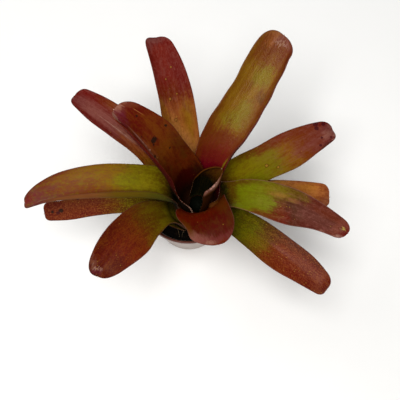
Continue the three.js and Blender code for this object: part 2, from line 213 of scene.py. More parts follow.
def pot_plastic():
    """Pale clouded plastic with the lip in its own colour above a wavering line, and grime
    that thickens round the height of the soil."""
    material, tree, skin = start_material("pot_plastic", Specular_IOR_Level=0.25)
    where = object_place(tree)
    height = height_of(tree, where)
    cloud = noise(tree, where, 90, 4)
    grime = noise(tree, where, (260, 260, 780), 5, 0.65)
    wall = blend(tree, cloud, colour(PALE_PLASTIC), colour(SHADED_PLASTIC))
    waver = sum_of(tree, "MULTIPLY_ADD", grime, 0.0016, height)
    wall = blend(tree, between(tree, waver, 0.0505, 0.0511), wall, colour(TERRACOTTA))
    near_soil = between(tree, height, 0.034, 0.046, 0.25, 1)
    dirt = times(tree, between(tree, grime, 0.56, 0.74, 0, 0.6), near_soil)
    fill(tree, skin, {"Base Color": blend(tree, dirt, wall, colour(POT_DIRT)),
                      "Roughness": between(tree, grime, 0.3, 0.8, 0.38, 0.62),
                      "Normal": relief(tree, sum_of(tree, "ADD", grime, cloud), 0.00012)})
    return material


def rounded(radius, height, size, start, end, steps=6):
    """Points of an arc round [radius, height], from one angle in degrees to another."""
    angle = np.radians(np.linspace(start, end, steps))
    return [[radius + size * np.cos(a), height + size * np.sin(a)] for a in angle]


def pot_profile():
    """The wall's outline from the middle of the foot outside, up over the rounded lip and
    down inside to the middle of the floor. Low ribs run round the wall, a cosine raised to
    a high power of the height."""
    rows = np.linspace(1.4, POT_SHOULDER - 0.3, 40)
    ribs = RIB_HEIGHT * np.cos((rows - RIB_START) * 2 * np.pi / RIB_STEP) ** 12
    wall = [[POT_FOOT_RADIUS + POT_SLOPE * z - RIB_HEIGHT + rib, z] for z, rib in zip(rows, ribs)]
    inner_foot = POT_FOOT_RADIUS - POT_WALL
    inside = [[POT_SHOULDER_RADIUS - POT_WALL + 0.1, POT_SHOULDER - 0.6]]
    inside += [[inner_foot + POT_SLOPE * z, z] for z in np.linspace(44, 3.2, 20)]
    inside += [[inner_foot - 0.6, POT_FLOOR + 0.3], [inner_foot - 1.2, POT_FLOOR]]
    return [[0, 0], *rounded(POT_FOOT_RADIUS - FOOT_ROUND, FOOT_ROUND, FOOT_ROUND, -90, 0), *wall,
            *rounded(POT_LIP_RADIUS - 0.5, POT_SHOULDER + UNDER_LIP_ROUND, UNDER_LIP_ROUND, -90, 0),
            *rounded(POT_LIP_RADIUS - LIP_ROUND, POT_HEIGHT - LIP_ROUND, LIP_ROUND, 0, 180, 11),
            *inside, [0, POT_FLOOR]]


def cut(piece, cutters):
    """Takes the cutters' shapes out of a piece and leaves the result as its mesh."""
    for cutter in cutters:
        change = piece.modifiers.new("hole", "BOOLEAN")
        change.operation = "DIFFERENCE"
        change.solver = "EXACT"
        change.object = cutter
    whole = bpy.context.evaluated_depsgraph_get()
    solid = bpy.data.meshes.new_from_object(piece.evaluated_get(whole), depsgraph=whole)
    piece.modifiers.clear()
    piece.data = solid
    for cutter in cutters:
        bpy.data.objects.remove(cutter)


pot = make_piece("nursery_pot", *turned_solid(pot_profile(), 160), [pot_plastic()])
drills = []
for k in range(DRAIN_HOLES):
    angle = np.radians(45 + 360 / DRAIN_HOLES * k)
    points, faces = turned_solid([[0, -4], [DRAIN_RADIUS, -4], [DRAIN_RADIUS, 8], [0, 8]], 32)
    points = points + [DRAIN_CIRCLE * np.cos(angle), DRAIN_CIRCLE * np.sin(angle), 0]
    drills.append(make_piece("drill", points, faces, []))
cut(pot, drills)
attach(pot, "root")
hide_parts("pot")

# ---------------------------------------------------------------------------------------
# Soil. Dark composted bark pressed into the pot, with loose crumbs and a few pale root
# fibres lying on it. The stem stands in a plain hole in it.
# ---------------------------------------------------------------------------------------
SOIL_TOP = 44.0
SOIL_BOTTOM = 2.3
SOIL_GAP = 1.5
PLANT_X = 6.0
PLANT_Y = -7.0
STEM_RADIUS = 5.0
STEM_FOOT = 28.0
STEM_HOLE = 5.3
HOLE_FLOOR = STEM_FOOT - 0.3
SIDE_RINGS = 14
TOP_RINGS = 40
HOLE_RINGS = 8
CRUMBS = 420
CRUMB_REACH = 26.0
CRUMB_CLEARANCE = 7.2
# The soil and crumb tones are near black: dark compost, darkened further with painted shade of the leaves
# over it.
SOIL_DARK = "040302"
SOIL_LIGHT = "140e09"
SOIL_DARKEST = "050403"
CRUMB_DARK = "080503"
CRUMB_LIGHT = "1e140c"
FIBRE_PALE = "8a7450"
FIBRE_DARK = "4d3a24"
# Each root fibre's start, bearing in degrees and length.
FIBRES = ((-9, -13, -72, 12), (-2, -18, -100, 6), (12, 15, 40, 12), (-15, 4, 120, 11),
          (2, 17, 170, 12), (18, 6, 75, 10), (-12, 12, 10, 9))


def soil_height(x, y):
    """Height of the pressed soil: two pairs of crossed waves and two finer ones."""
    broad = 0.5 * np.sin(x * 0.55 + 1) * np.cos(y * 0.48)
    broad = broad + 0.25 * np.sin(x * 1.1) * np.cos(y * 0.9)
    fine = np.sin(x * 2.3 + y * 1.1) * np.cos(y * 2.9 - x * 0.7)
    finest = np.sin(x * 5.1 - y * 2.2) * np.sin(y * 4.7 + x * 1.9)
    return SOIL_TOP + broad + 0.22 * fine + 0.12 * finest


def soil_points():
    """Rings of points from the middle of the foot up the side, in over the top to the edge
    of the stem's hole, down it and across its floor. The centre slides from the pot's axis
    to the stem's as the rings go in over the top."""
    side_height = np.linspace(SOIL_BOTTOM + 1, SOIL_TOP - 0.6, SIDE_RINGS)
    side = POT_FOOT_RADIUS + POT_SLOPE * side_height - SOIL_GAP
    side[0] -= 0.4
    rim = POT_FOOT_RADIUS + POT_SLOPE * SOIL_TOP - SOIL_GAP
    inwards = np.linspace(0, 1, TOP_RINGS)
    hole_height = np.linspace(SOIL_TOP - 1.5, HOLE_FLOOR, HOLE_RINGS)
    radius = np.concatenate([[side[0] - 1.2], side, rim + (STEM_HOLE - rim) * inwards,
                             np.full(HOLE_RINGS, STEM_HOLE)])
    height = np.concatenate([[SOIL_BOTTOM], side_height, np.full(TOP_RINGS, SOIL_TOP), hole_height])
    shift = np.concatenate([np.zeros(1 + SIDE_RINGS), inwards, np.ones(HOLE_RINGS)])[:, None]
    angle = full_turn(144)
    x = radius[:, None] * np.cos(angle) + PLANT_X * shift
    y = radius[:, None] * np.sin(angle) + PLANT_Y * shift
    z = height[:, None] + 0 * x
    top = slice(1 + SIDE_RINGS, 1 + SIDE_RINGS + TOP_RINGS)
    z[top] = soil_height(x[top], y[top])
    z[1 + SIDE_RINGS] -= 0.35
    return close_with_poles(np.stack([x, y, z], -1), [[0, 0, SOIL_BOTTOM], [PLANT_X, PLANT_Y, HOLE_FLOOR]])


def repeat_faces(shapes, faces):
    """Points and faces of many shapes that share one list of faces."""
    numbers = np.array(faces)[None] + shapes.shape[1] * np.arange(len(shapes))[:, None, None]
    return shapes.reshape(-1, 3), numbers.reshape(-1, 3).tolist()


def crumb_points(count, seed):
    """Loose crumbs: one rough lump of twelve points, turned, stretched and scattered over
    the soil by whole arrays, half sunk in it."""
    draw = np.random.default_rng(seed)
    golden = (1 + 5 ** 0.5) / 2
    corner = np.array([[s, t * golden, 0] for s in (-1, 1) for t in (-1, 1)])
    lump = np.concatenate([corner, corner[:, [2, 0, 1]], corner[:, [1, 2, 0]]])
    lump = lump / np.linalg.norm(lump[0])
    apart = np.linalg.norm(lump[:, None] - lump[None], axis=-1)
    near = (apart > 0.1) & (apart < 1.1)
    faces = [[a, b, c] for a in range(12) for b in range(a + 1, 12) for c in range(b + 1, 12)
             if near[a, b] and near[b, c] and near[a, c]]
    for face in faces:
        a, b, c = lump[face]
        if np.dot(np.cross(b - a, c - a), a) < 0:
            face.reverse()
    angle = draw.uniform(0, 2 * np.pi, count)
    reach = CRUMB_REACH * np.sqrt(draw.uniform(0, 1, count))
    x, y = reach * np.cos(angle), reach * np.sin(angle)
    clear = np.hypot(x - PLANT_X, y - PLANT_Y)
    x, y, clear = np.stack([x, y, clear])[:, clear > CRUMB_CLEARANCE]
    size = draw.uniform(0.35, 1.0, len(x)) ** 1.6
    size *= np.clip((clear - CRUMB_CLEARANCE + 1) * 0.35, 0.35, 1.3)
    size = np.minimum(size, (CRUMB_REACH + 0.2 - np.hypot(x, y)) * 0.8 + 0.25)
    long = draw.uniform(0.6, 1.5, (len(x), 1, 3)) * [1, 1, 0.6]
    rough = 1 + draw.uniform(-0.22, 0.22, (len(x), 12, 1))
    turn = draw.uniform(0, 2 * np.pi, len(x))
    lx, ly, lz = np.moveaxis(lump[None] * long * rough * size[:, None, None], -1, 0)
    cos, sin = np.cos(turn)[:, None], np.sin(turn)[:, None]
    spun = np.stack([lx * cos - ly * sin, lx * sin + ly * cos, lz], -1)
    place = np.stack([x, y, soil_height(x, y) + 0.12 * size], -1)
    return repeat_faces(spun + place[:, None], faces)


def soil_earth(name, dark, light):
    """Dull grainy earth of two near black tones, darker still in broad cloudy patches: dark earth with
    painted shade of the leaves over it.
    """
    material, tree, skin = start_material(name, Specular_IOR_Level=0.05)
    where = object_place(tree)
    grain = noise(tree, where, 900, 6, 0.7)
    clod = noise(tree, where, 190, 3)
    tone = blend(tree, between(tree, grain, 0.42, 0.7), colour(dark), colour(light))
    tone = blend(tree, between(tree, clod, 0.35, 0.6, 0.8, 0), tone, colour(SOIL_DARKEST))
    fill(tree, skin, {"Base Color": tone, "Roughness": between(tree, clod, 0.3, 0.7, 0.72, 0.95),
                      "Normal": relief(tree, grain, 0.0006)})
    return material


def unit(vectors):
    """Vectors brought to length 1."""
    return vectors / np.linalg.norm(vectors, axis=-1, keepdims=True)


def close_with_caps(rings):
    """Points and faces of a closed solid: rings of points joined in order by quads, with one
    flat face at either end."""
    rows, columns = rings.shape[:2]
    faces = grid_faces(rows, columns, True)
    faces.append(list(range(columns))[::-1])
    faces.append(list(range((rows - 1) * columns, rows * columns)))
    return rings.reshape(-1, 3), faces


def tube(path, radius, sides=6):
    """Carries a round section along a path of points: at each point the section stands
    square to the path, and its radius shrinks to a point at both ends."""
    along = unit(np.gradient(path, axis=0))
    level = unit(np.cross(along, [0, 0, 1.0]))
    upper = np.cross(level, along)
    angle = full_turn(sides)[None, :, None]
    taper = radius * np.sqrt(np.sin(np.linspace(0.02, np.pi - 0.02, len(path))))
    ring = level[:, None] * np.cos(angle) + upper[:, None] * np.sin(angle)
    return close_with_caps(path[:, None] + ring * taper[:, None, None])


def gather(parts):
    """Puts several lists of points and faces into one."""
    points, faces, start = [], [], 0
    for more_points, more_faces in parts:
        points.append(more_points)
        faces += [[start + k for k in face] for face in more_faces]
        start += len(more_points)
    return np.concatenate(points), faces


def fibre_points():
    """Loose root fibres: low arches over the soil whose plan wanders as a sine."""
    draw = np.random.default_rng(12)
    fibres = []
    for x, y, bearing, length in FIBRES:
        q = np.linspace(0, 1, 18)
        side = np.sin(q * draw.uniform(3, 6) + draw.uniform(0, 6)) * draw.uniform(0.4, 1.1)
        turn = np.radians(bearing)
        run = q * length
        px = x + run * np.cos(turn) - side * np.sin(turn)
        py = y + run * np.sin(turn) + side * np.cos(turn)
        inside = np.minimum(1, 25.2 / np.hypot(px, py))
        px, py = px * inside, py * inside
        pz = soil_height(px, py) + 0.1 + 0.9 * np.sin(np.pi * q) ** 2
        fibres.append(tube(np.stack([px, py, pz], -1), draw.uniform(0.08, 0.15)))
    return gather(fibres)


def fibre_skin():
    """Dry root skin between a pale and a dark tone."""
    material, tree, skin = start_material("root_fibre", Roughness=0.6)
    where = object_place(tree)
    tone = blend(tree, noise(tree, where, 600, 3), colour(FIBRE_PALE), colour(FIBRE_DARK))
    fill(tree, skin, {"Base Color": tone})
    return material


soil = make_piece("potting_soil", *soil_points(), [soil_earth("dark_compost", SOIL_DARK, SOIL_LIGHT)])
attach(soil, "root")
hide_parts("soil")

crumb_bark = soil_earth("bark_crumb", CRUMB_DARK, CRUMB_LIGHT)
crumbs = make_piece("bark_crumbs", *crumb_points(CRUMBS, 5), [crumb_bark], smooth=False)
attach(crumbs, "root")

fibres = make_piece("root_fibres", *fibre_points(), [fibre_skin()])
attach(fibres, "root")

# ---------------------------------------------------------------------------------------
# Stem. A short woody stem, ringed where earlier leaves were fixed, which stands in the
# hole in the soil and carries every sheath.
# ---------------------------------------------------------------------------------------
STEM_TOP = 61.0
STEM_CROWN = 3.0
SCAR_HEIGHT = 0.12
SCAR_STEP = 1.8
SCAR_START = 46.0
WOOD_BROWN = "4d3b22"
# Near black: the stem's green with painted shade of the leaves' cup over it.
WOOD_GREEN_AND_SHADE = "060a04"
WOOD_FIBRE = "040302"


def stem_profile():
    """A straight stem with shallow rings, the root of a sine's size, and a rounded top."""
    heights = np.linspace(STEM_FOOT + 1, STEM_TOP - STEM_CROWN, 90)
    scar = SCAR_HEIGHT * np.abs(np.sin((heights - SCAR_START) * np.pi / SCAR_STEP)) ** 0.5
    side = [[STEM_RADIUS - SCAR_HEIGHT + r, z] for r, z in zip(scar, heights)]
    turn = np.radians(np.linspace(8, 82, 8))
    crown = [[(STEM_RADIUS - 0.1) * np.cos(a), STEM_TOP - STEM_CROWN + 2.95 * np.sin(a)] for a in turn]
    return [[0, STEM_FOOT], [STEM_RADIUS - 1, STEM_FOOT], *side, *crown, [0, STEM_TOP]]


def stem_wood():
    """Fibrous wood, brown at the soil and near black green between the leaves, which is green wood with
    painted shade of the cup over it.
    """
    material, tree, skin = start_material("stem_wood", Specular_IOR_Level=0.02)
    where = object_place(tree)
    height = height_of(tree, where)
    fibre = noise(tree, where, (900, 900, 135), 4)
    tone = blend(tree, between(tree, height, 0.042, 0.058), colour(WOOD_BROWN), colour(WOOD_GREEN_AND_SHADE))
    tone = blend(tree, between(tree, fibre, 0.4, 0.7, 0, 0.7), tone, colour(WOOD_FIBRE))
    fill(tree, skin, {"Base Color": tone, "Roughness": between(tree, fibre, 0.3, 0.7, 0.55, 0.8),
                      "Normal": relief(tree, fibre, 0.0003)})
    return material


points, faces = turned_solid(stem_profile(), 72)
stem = make_piece("short_stem", points + [PLANT_X, PLANT_Y, 0], faces, [stem_wood()])
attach(stem, "root")
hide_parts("stem")

# ---------------------------------------------------------------------------------------
# Leaves. Each is a thick leathery strap: a sheath that hugs its neighbours on the stem, a
# gutter-shaped blade that arches out of it, and a blunt hooked tip with a small horny point.
# Fine spines edge the sheath and the foot of the blade.
# ---------------------------------------------------------------------------------------
FOOT_HEIGHT = 46.0
FOOT_STEP = 1.8
FOOT_RADIUS = STEM_RADIUS + 0.45
# Radius round the stem and height of the leaves' necks, ring by ring from the soil up.
RINGS = ((19.0, 61), (17.5, 64), (16.1, 67), (14.7, 70), (13.2, 73), (11.5, 77), (9.8, 82), (6.2, 84))
FOOT_ANGLE = 18
SHEATH_ANGLE = 80
# Mean run and rise of the foot bend, and rise of the sheath, for each millimetre of leaf.
BEND_RUN = 0.585
BEND_RISE = 0.75
SHEATH_RISE = 0.98
# Where the hug of the sheath ends: from this share of the straight sheath before the neck to
# these millimetres of blade after it.
HUG_BEFORE_NECK = 0.35
HUG_AFTER_NECK = 18.0
HUG_SLACK = 1.05
# Where a margin's curl comes on, as fractions along the blade and across a side, how much of
# it the tip takes back, and where along the blade the roll is complete.
CURL_ALONG = (0.05, 0.35)
CURL_ACROSS = (0.35, 0.95)
TIP_UNCURLS = 0.8
ROLLED = 0.6
MIDRIB_STEPS = 2400
TILT_STEPS = 200
WAVES_ALONG = (0.12, 0.4)
LONG_WAVES = (37, 23, 14)
FINE_WAVES = (6.1, 4.3, 3.2)
FINE_RIPPLE = 0.06
THICK_MIDDLE = 1.1
THICK_EDGE = 0.7
EDGE_ROUND = 0.42
TIP_ROUND = 0.5
MIDRIB_GROOVE = 0.16
MIDRIB_HALF_WIDTH = 1.4
TIP_END = 0.9985
SHEATH_ROWS = 34
BLADE_ROWS = 84
TIP_ROWS = 34
CELLS_ACROSS = 54
# The first columns in from a margin, in millimetres, and at most this share of the width.
NEAR_MARGIN = np.array([0, 0.05, 0.17, 0.36])
MOST_SHARE = np.array([0, 0.08, 0.2, 0.34])
SPINES_START = 4.0
SPINES_END = 0.25
SPINE_STEP = (0.9, 2.2)
SPINE_TALL = (0.3, 0.65)
SPINE_ROOT = 0.12
HORN_ROWS = 9
HORN_SIDES = 10


def bezier(values, u):
    """A cubic Bezier through four control values at u from 0 to 1."""
    a, b, c, d = values
    v = 1 - u
    return a * v ** 3 + 3 * b * u * v ** 2 + 3 * c * u ** 2 * v + d * u ** 3


def through(values, u):
    """A smooth curve that passes through evenly spaced values, at u from 0 to 1: a cubic
    between each pair whose slope at a value is half the step from the one before it to the
    one after it."""
    v = np.array([2 * values[0] - values[1], *values, 2 * values[-1] - values[-2]])
    place = clamp(u) * (len(values) - 1)
    i = np.minimum(place.astype(int), len(values) - 2)
    f = place - i
    a, b, c, d = v[i], v[i + 1], v[i + 2], v[i + 3]
    return b + 0.5 * f * (c - a + f * (2 * a - 5 * b + 4 * c - d + f * (3 * (b - c) + d - a)))


def wander(where, seed, lengths):
    """A soft irregular wave: the mean of sines of the given wavelengths with seeded phases."""
    draw = np.random.default_rng(seed)
    phase = draw.uniform(0, 2 * np.pi, len(lengths))
    return sum(np.sin(2 * np.pi * where / w + p) for w, p in zip(lengths, phase)) / len(lengths)


def stages(leaf):
    """A leaf's ring, the height of its foot, and the lengths along its midrib: the foot bend,
    the straight sheath, the neck where the sheath ends and the end of the blade."""
    radius, neck_height = RINGS[leaf["ring"] - 1]
    foot = FOOT_HEIGHT + FOOT_STEP * (leaf["ring"] - 1)
    bend = (radius - FOOT_RADIUS) / BEND_RUN
    straight = max(2, (neck_height - foot - BEND_RISE * bend) / SHEATH_RISE)
    neck = bend + straight
    return {"radius": radius, "foot": foot, "bend": bend, "straight": straight, "neck": neck,
            "end": neck + leaf["length"]}


def places(leaf, s):
    """How much a row at length s still hugs the plant's axis, 1 in the sheath and 0 in the
    open blade, its place along the blade and its place along the rounded tip."""
    closed = leaf["neck"] - HUG_BEFORE_NECK * leaf["straight"]
    hug = 1 - smooth_step(closed, leaf["neck"] + min(HUG_AFTER_NECK, 0.5 * leaf["length"]), s)
    u = clamp((s - leaf["neck"]) / leaf["length"])
    return hug, u, clamp((s - leaf["end"] + leaf["tip"]) / leaf["tip"])


def midrib(leaf, s):
    """Points, slope and heading along the midrib: the slope follows the foot bend, the
    sheath, the blade's Bezier and the hooked tip, and the points add up its direction."""
    walk = np.linspace(0, leaf["end"], MIDRIB_STEPS)
    u, bent = places(leaf, walk)[1:]
    sheath = np.interp(walk, [0, leaf["bend"], leaf["neck"]], [FOOT_ANGLE, SHEATH_ANGLE, leaf["rise"][0]])
    slope = np.where(walk < leaf["neck"], sheath, bezier(leaf["rise"], u) - leaf["hook"] * bent)
    slope = np.radians(slope)
    heading = np.radians(leaf["heading"] + leaf["turn"] * smooth_step(0, 1, u))
    way = np.stack([np.cos(slope) * np.cos(heading), np.cos(slope) * np.sin(heading), np.sin(slope)], -1)
    start = np.radians(leaf["heading"])
    foot = [PLANT_X + FOOT_RADIUS * np.cos(start), PLANT_Y + FOOT_RADIUS * np.sin(start), leaf["foot"]]
    middle = (way[1:] + way[:-1]) / 2 * (walk[1] - walk[0])
    points = np.concatenate([[foot], foot + np.cumsum(middle, axis=0)])
    at = [np.interp(s, walk, points[:, k]) for k in range(3)]
    return np.stack(at, -1), np.interp(s, walk, slope), np.interp(s, walk, heading)


def half_widths(leaf, s, centre):
    """Widths on the right and on the left of the midrib: round the axis in the sheath,
    through the listed values in the blade, and to nothing along the tip's blunt curve."""
    hug, u, cap = places(leaf, s)
    from_axis = np.hypot(centre[:, 0] - PLANT_X, centre[:, 1] - PLANT_Y)
    wide = np.radians(leaf["wrap"]) * np.minimum(from_axis, leaf["radius"] * HUG_SLACK)
    tip = (1 - cap ** leaf["blunt"]) ** (1 / leaf["blunt"])
    widths = [(hug * wide + (1 - hug) * through(leaf[side], u)) * tip for side in ("right", "left")]
    return [width[:, None] for width in widths]


def leaf_sheet(leaf, s, across):
    """The leaf's middle surface at lengths s and places across, from -1 at its right margin
    to 1 at its left. Each row is a line whose tilt grows evenly from the midrib, faster near
    a curled margin; its points add up cos and sin of that tilt. Returns the points and, at
    each of them, the width of its side."""
    centre, slope, heading = midrib(leaf, s)
    hug, u, cap = (part[:, None] for part in places(leaf, s))
    right, left = half_widths(leaf, s, centre)
    gutter = leaf["gutter"][0] + (leaf["gutter"][1] - leaf["gutter"][0]) * u
    spread = np.radians(hug * leaf["wrap"] + (1 - hug) * gutter)
    curled = np.radians(smooth_step(*CURL_ALONG, u) * (1 - TIP_UNCURLS * cap))
    t = np.linspace(-1, 1, 2 * TILT_STEPS + 1)
    tilt = spread * t + curled * leaf["curl"][0] * smooth_step(*CURL_ACROSS, t)
    tilt -= curled * leaf["curl"][1] * smooth_step(*CURL_ACROSS, -t)
    step = np.stack([np.cos(tilt), np.sin(tilt)], -1) * (t[1] - t[0])
    line = np.cumsum(step, axis=1) - step / 2
    line -= line[:, TILT_STEPS:TILT_STEPS + 1]
    place = (across + 1) * TILT_STEPS
    low = np.clip(place.astype(int), 0, 2 * TILT_STEPS - 1)
    rows = np.arange(len(s))[:, None]
    f = (place - low)[..., None]
    width = np.where(across > 0, left, right)
    flat = (line[rows, low] * (1 - f) + line[rows, low + 1] * f) * width[..., None]

    level = np.stack([-np.sin(heading), np.cos(heading), 0 * heading], -1)
    over = np.stack([-np.sin(slope) * np.cos(heading), -np.sin(slope) * np.sin(heading),
                     np.cos(slope)], -1)
    turn = np.radians(leaf["heading"])
    up = hug * [-np.cos(turn), -np.sin(turn), 0] + (1 - hug) * over
    up = unit(up - (up * level).sum(-1, keepdims=True) * level)
    roll = np.radians(leaf["roll"]) * smooth_step(0, ROLLED, u)
    side = (level * np.cos(roll) + up * np.sin(roll))[:, None]
    lift = (up * np.cos(roll) - level * np.sin(roll))[:, None]
    return centre[:, None] + flat[..., :1] * side + flat[..., 1:] * lift, width


def loop(over, below):
    """Closes two sheets' rows into rings: out over one and back under the other."""
    return np.concatenate([over, below[:, -2:0:-1]], 1)


def leaf_solid(leaf):
    """Points, faces and surface coordinates of a whole leaf: the middle surface, rippled by
    soft waves and grooved along the midrib, moved along its normal by half the thickness to
    either side. The thickness falls by the square of the place across and closes as a quarter
    circle at the margins and the tip. Every row is a closed loop over the hollow face and
    back under it, and thin strips close the foot and the tip."""
    neck, end, tip_start = leaf["neck"], leaf["end"], leaf["end"] - leaf["tip"]
    quarter = np.sin(np.linspace(0, 1, TIP_ROWS) * np.pi / 2)
    s = np.concatenate([np.linspace(0, neck, SHEATH_ROWS, endpoint=False),
                        np.linspace(neck, tip_start, BLADE_ROWS, endpoint=False),
                        tip_start + leaf["tip"] * TIP_END * quarter])
    right, left = half_widths(leaf, s, midrib(leaf, s)[0])
    first = np.minimum(NEAR_MARGIN / right, MOST_SHARE) - 1
    last = (1 - np.minimum(NEAR_MARGIN / left, MOST_SHARE))[:, ::-1]
    evenly = np.linspace(0, 1, CELLS_ACROSS - 5)[None, 1:-1]
    across = np.concatenate([first, first[:, -1:] + (last[:, :1] - first[:, -1:]) * evenly, last], 1)
    along = s[:, None] + 0 * across
    u = (along - neck) / leaf["length"]
    points, width = leaf_sheet(leaf, s, across)
    normal = unit(np.cross(np.gradient(points, s, axis=0), np.gradient(points, axis=1)))
    place = across * width
    seed = leaf["seed"]
    wave = leaf["ripple"] * wander(along + 0.3 * place, seed, LONG_WAVES)
    wave *= 0.4 + 0.6 * across ** 2
    wave += FINE_RIPPLE * wander(place + 0.05 * along, seed + 1, FINE_WAVES)
    wave -= MIDRIB_GROOVE * np.exp(-(place / MIDRIB_HALF_WIDTH) ** 2)
    points = points + normal * (wave * smooth_step(*WAVES_ALONG, u))[..., None]
    margin = (1 - np.abs(across)) * width
    thick = THICK_MIDDLE - (THICK_MIDDLE - THICK_EDGE) * across ** 2
    for inwards in (margin / EDGE_ROUND, (end - along) / TIP_ROUND):
        thick = thick * np.sqrt(1 - (1 - clamp(inwards)) ** 2)
    shift = normal * (thick / 2)[..., None]

    columns = across.shape[1]
    wide = 2 * columns - 2
    faces = [face[::-1] for face in grid_faces(len(s), wide, True)]
    start = (len(s) - 1) * wide
    for j in range(columns - 1):
        strip = [j, j + 1, wide - j - 1, wide - j]
        if j == 0:
            strip = strip[:3]
        if j == columns - 2:
            strip = [j, j + 1, wide - j]
        faces.append(strip)
        faces.append([start + k for k in reversed(strip)])
    hollow = np.ones_like(across)
    hollow[:, [0, -1]] = 0
    strap = [loop(u, u), loop(across, across), loop(hollow, -hollow)]
    flat = [loop(along - neck, along - neck), loop(place, place), loop(margin, margin)]
    strap, flat = (np.stack(parts, -1).reshape(-1, 3) for parts in (strap, flat))
    sheet = {"s": s, "u": u[:, 0], "points": points, "normal": normal}
    return loop(points + shift, points - shift).reshape(-1, 3), faces, strap, flat, sheet


def spine_points(leaf, sheet):
    """Fine spines along both margins of the sheath and the foot of the blade: four-sided
    points that lean towards the tip, unevenly spaced, smaller further out."""
    draw = np.random.default_rng(leaf["seed"] + 40)
    spines = []
    for reach, column, inner in zip(leaf["spines"], (0, -1), (6, -7)):
        edge = sheet["points"][:, column]
        out = unit(edge - sheet["points"][:, inner])
        at = np.cumsum(draw.uniform(*SPINE_STEP, 60)) + SPINES_START
        at = at[at < np.interp(SPINES_END, sheet["u"], sheet["s"])]
        row = np.interp(at, sheet["s"], np.arange(len(edge))).round().astype(int)
        way = unit(np.gradient(edge, axis=0)[row])
        small = (1 - 0.7 * clamp(sheet["u"][row] / SPINES_END))[:, None]
        tall = reach * draw.uniform(*SPINE_TALL, (len(row), 1)) * small
        root = edge[row] - SPINE_ROOT * out[row]
        half = (0.05 + 0.06 * reach) * small
        long, wide = 1.5 * half * way, half * sheet["normal"][row, column]
        point = root + (SPINE_ROOT + 0.85 * tall) * out[row] + 0.55 * tall * way
        spines.append(np.stack([root + long, root + wide, root - long, root - wide, point], 1))
    sides = [[0, 1, 4], [1, 2, 4], [2, 3, 4], [3, 0, 4], [3, 2, 1], [3, 1, 0]]
    return repeat_faces(np.concatenate(spines), sides)


def horn_points(leaf, sheet):
    """The horny point at the tip: a short bent cone whose middle line runs on from the
    midrib and curls towards the hollow side."""
    middle = sheet["points"].shape[1] // 2
    foot = sheet["points"][-6, middle]
    way = unit(sheet["points"][-1, middle] - foot)
    up = sheet["normal"][-6, middle]
    q = np.linspace(0, 1, HORN_ROWS)[:, None]
    line = foot - way * 0.3 + way * (leaf["horn"] + 0.4) * q + up * 0.6 * leaf["horn"] * q ** 2
    size = 0.5 * (1 - q) ** 0.75 + 0.03
    angle = full_turn(HORN_SIDES)[None, :, None]
    section = np.cross(way, up) * np.cos(angle) + up * 0.75 * np.sin(angle)
    return close_with_caps(line[:, None] + section * size[:, None])


def group(name, inputs, outputs):
    """A shader node group whose inputs and outputs are named under their kinds: Color, Vector
    or Float."""
    tree = bpy.data.node_groups.new(name, "ShaderNodeTree")
    for way, kinds in (("INPUT", inputs), ("OUTPUT", outputs)):
        for kind, labels in kinds.items():
            for label in labels:
                tree.interface.new_socket(name=label, in_out=way, socket_type="NodeSocket" + kind)
    return tree, tree.nodes.new("NodeGroupInput").outputs, tree.nodes.new("NodeGroupOutput")


def use(tree, made_group, inputs):
    """Places a group in a tree with its inputs filled and gives its outputs."""
    return node(tree, "ShaderNodeGroup", inputs, node_tree=made_group).outputs


def surface_place(tree, name):
    """The three parts of a point's own surface coordinates of that name."""
    layer = node(tree, "ShaderNodeAttribute", attribute_name=name).outputs["Vector"]
    return node(tree, "ShaderNodeSeparateXYZ", {0: layer}).outputs


def leaf_place():
    """Where a point is on its leaf: Spot holds the fraction of the blade from neck to tip and
    the place across from -1 to 1. The fraction wavers with broad and fine clouds and is
    feathered by streaks along the veins and by fine grains, so tones meet raggedly. Hollow is
    1 on the hollow face and 0 under it, Margin the distance to the margin and Flat the
    millimetres along and across. Cloud is a ragged value about 0 that every patch shares."""
    tree, given, out = group("leaf_place", {"Float": ["Waver", "Feather", "Seed"]},
                             {"Vector": ["Spot", "Flat"],
                              "Float": ["Along", "Hollow", "Margin", "Cloud"]})
    strap, flat = surface_place(tree, "strap"), surface_place(tree, "flat")
    seeded = node(tree, "ShaderNodeCombineXYZ", {0: flat[0], 1: flat[1], 2: given["Seed"]}).outputs[0]
    broad = noise(tree, seeded, (0.05, 0.09, 7), 2)
    fine = noise(tree, seeded, (0.16, 0.34, 9), 3)
    shift = sum_of(tree, "SUBTRACT", sum_of(tree, "MULTIPLY_ADD", fine, 0.35, broad), 0.675)
    along = sum_of(tree, "MULTIPLY_ADD", shift, given["Waver"], strap[0])
    veined = noise(tree, seeded, (0.06, 0.9, 11), 3, 0.6)
    peppered = noise(tree, seeded, (0.5, 0.75, 13), 3, 0.6)
    frayed = sum_of(tree, "SUBTRACT", sum_of(tree, "ADD", veined, peppered), 1.0)
    along = sum_of(tree, "MULTIPLY_ADD", frayed, given["Feather"], along)
    spot = node(tree, "ShaderNodeCombineXYZ", {0: along, 1: strap[1]}).outputs[0]
    cloud = sum_of(tree, "SUBTRACT", noise(tree, seeded, (0.18, 0.34, 3), 5, 0.62), 0.5)
    fill(tree, out, {"Along": along, "Spot": spot, "Margin": flat[2], "Flat": seeded,
                     "Hollow": between(tree, strap[2], -0.2, 0.2), "Cloud": cloud})
    return tree


def vector_sum(tree, operation, first, second=(0, 0, 0)):
    """The result of one sum on two vectors, first as a vector and then as a value."""
    return node(tree, "ShaderNodeVectorMath", {0: first, 1: second}, operation=operation).outputs


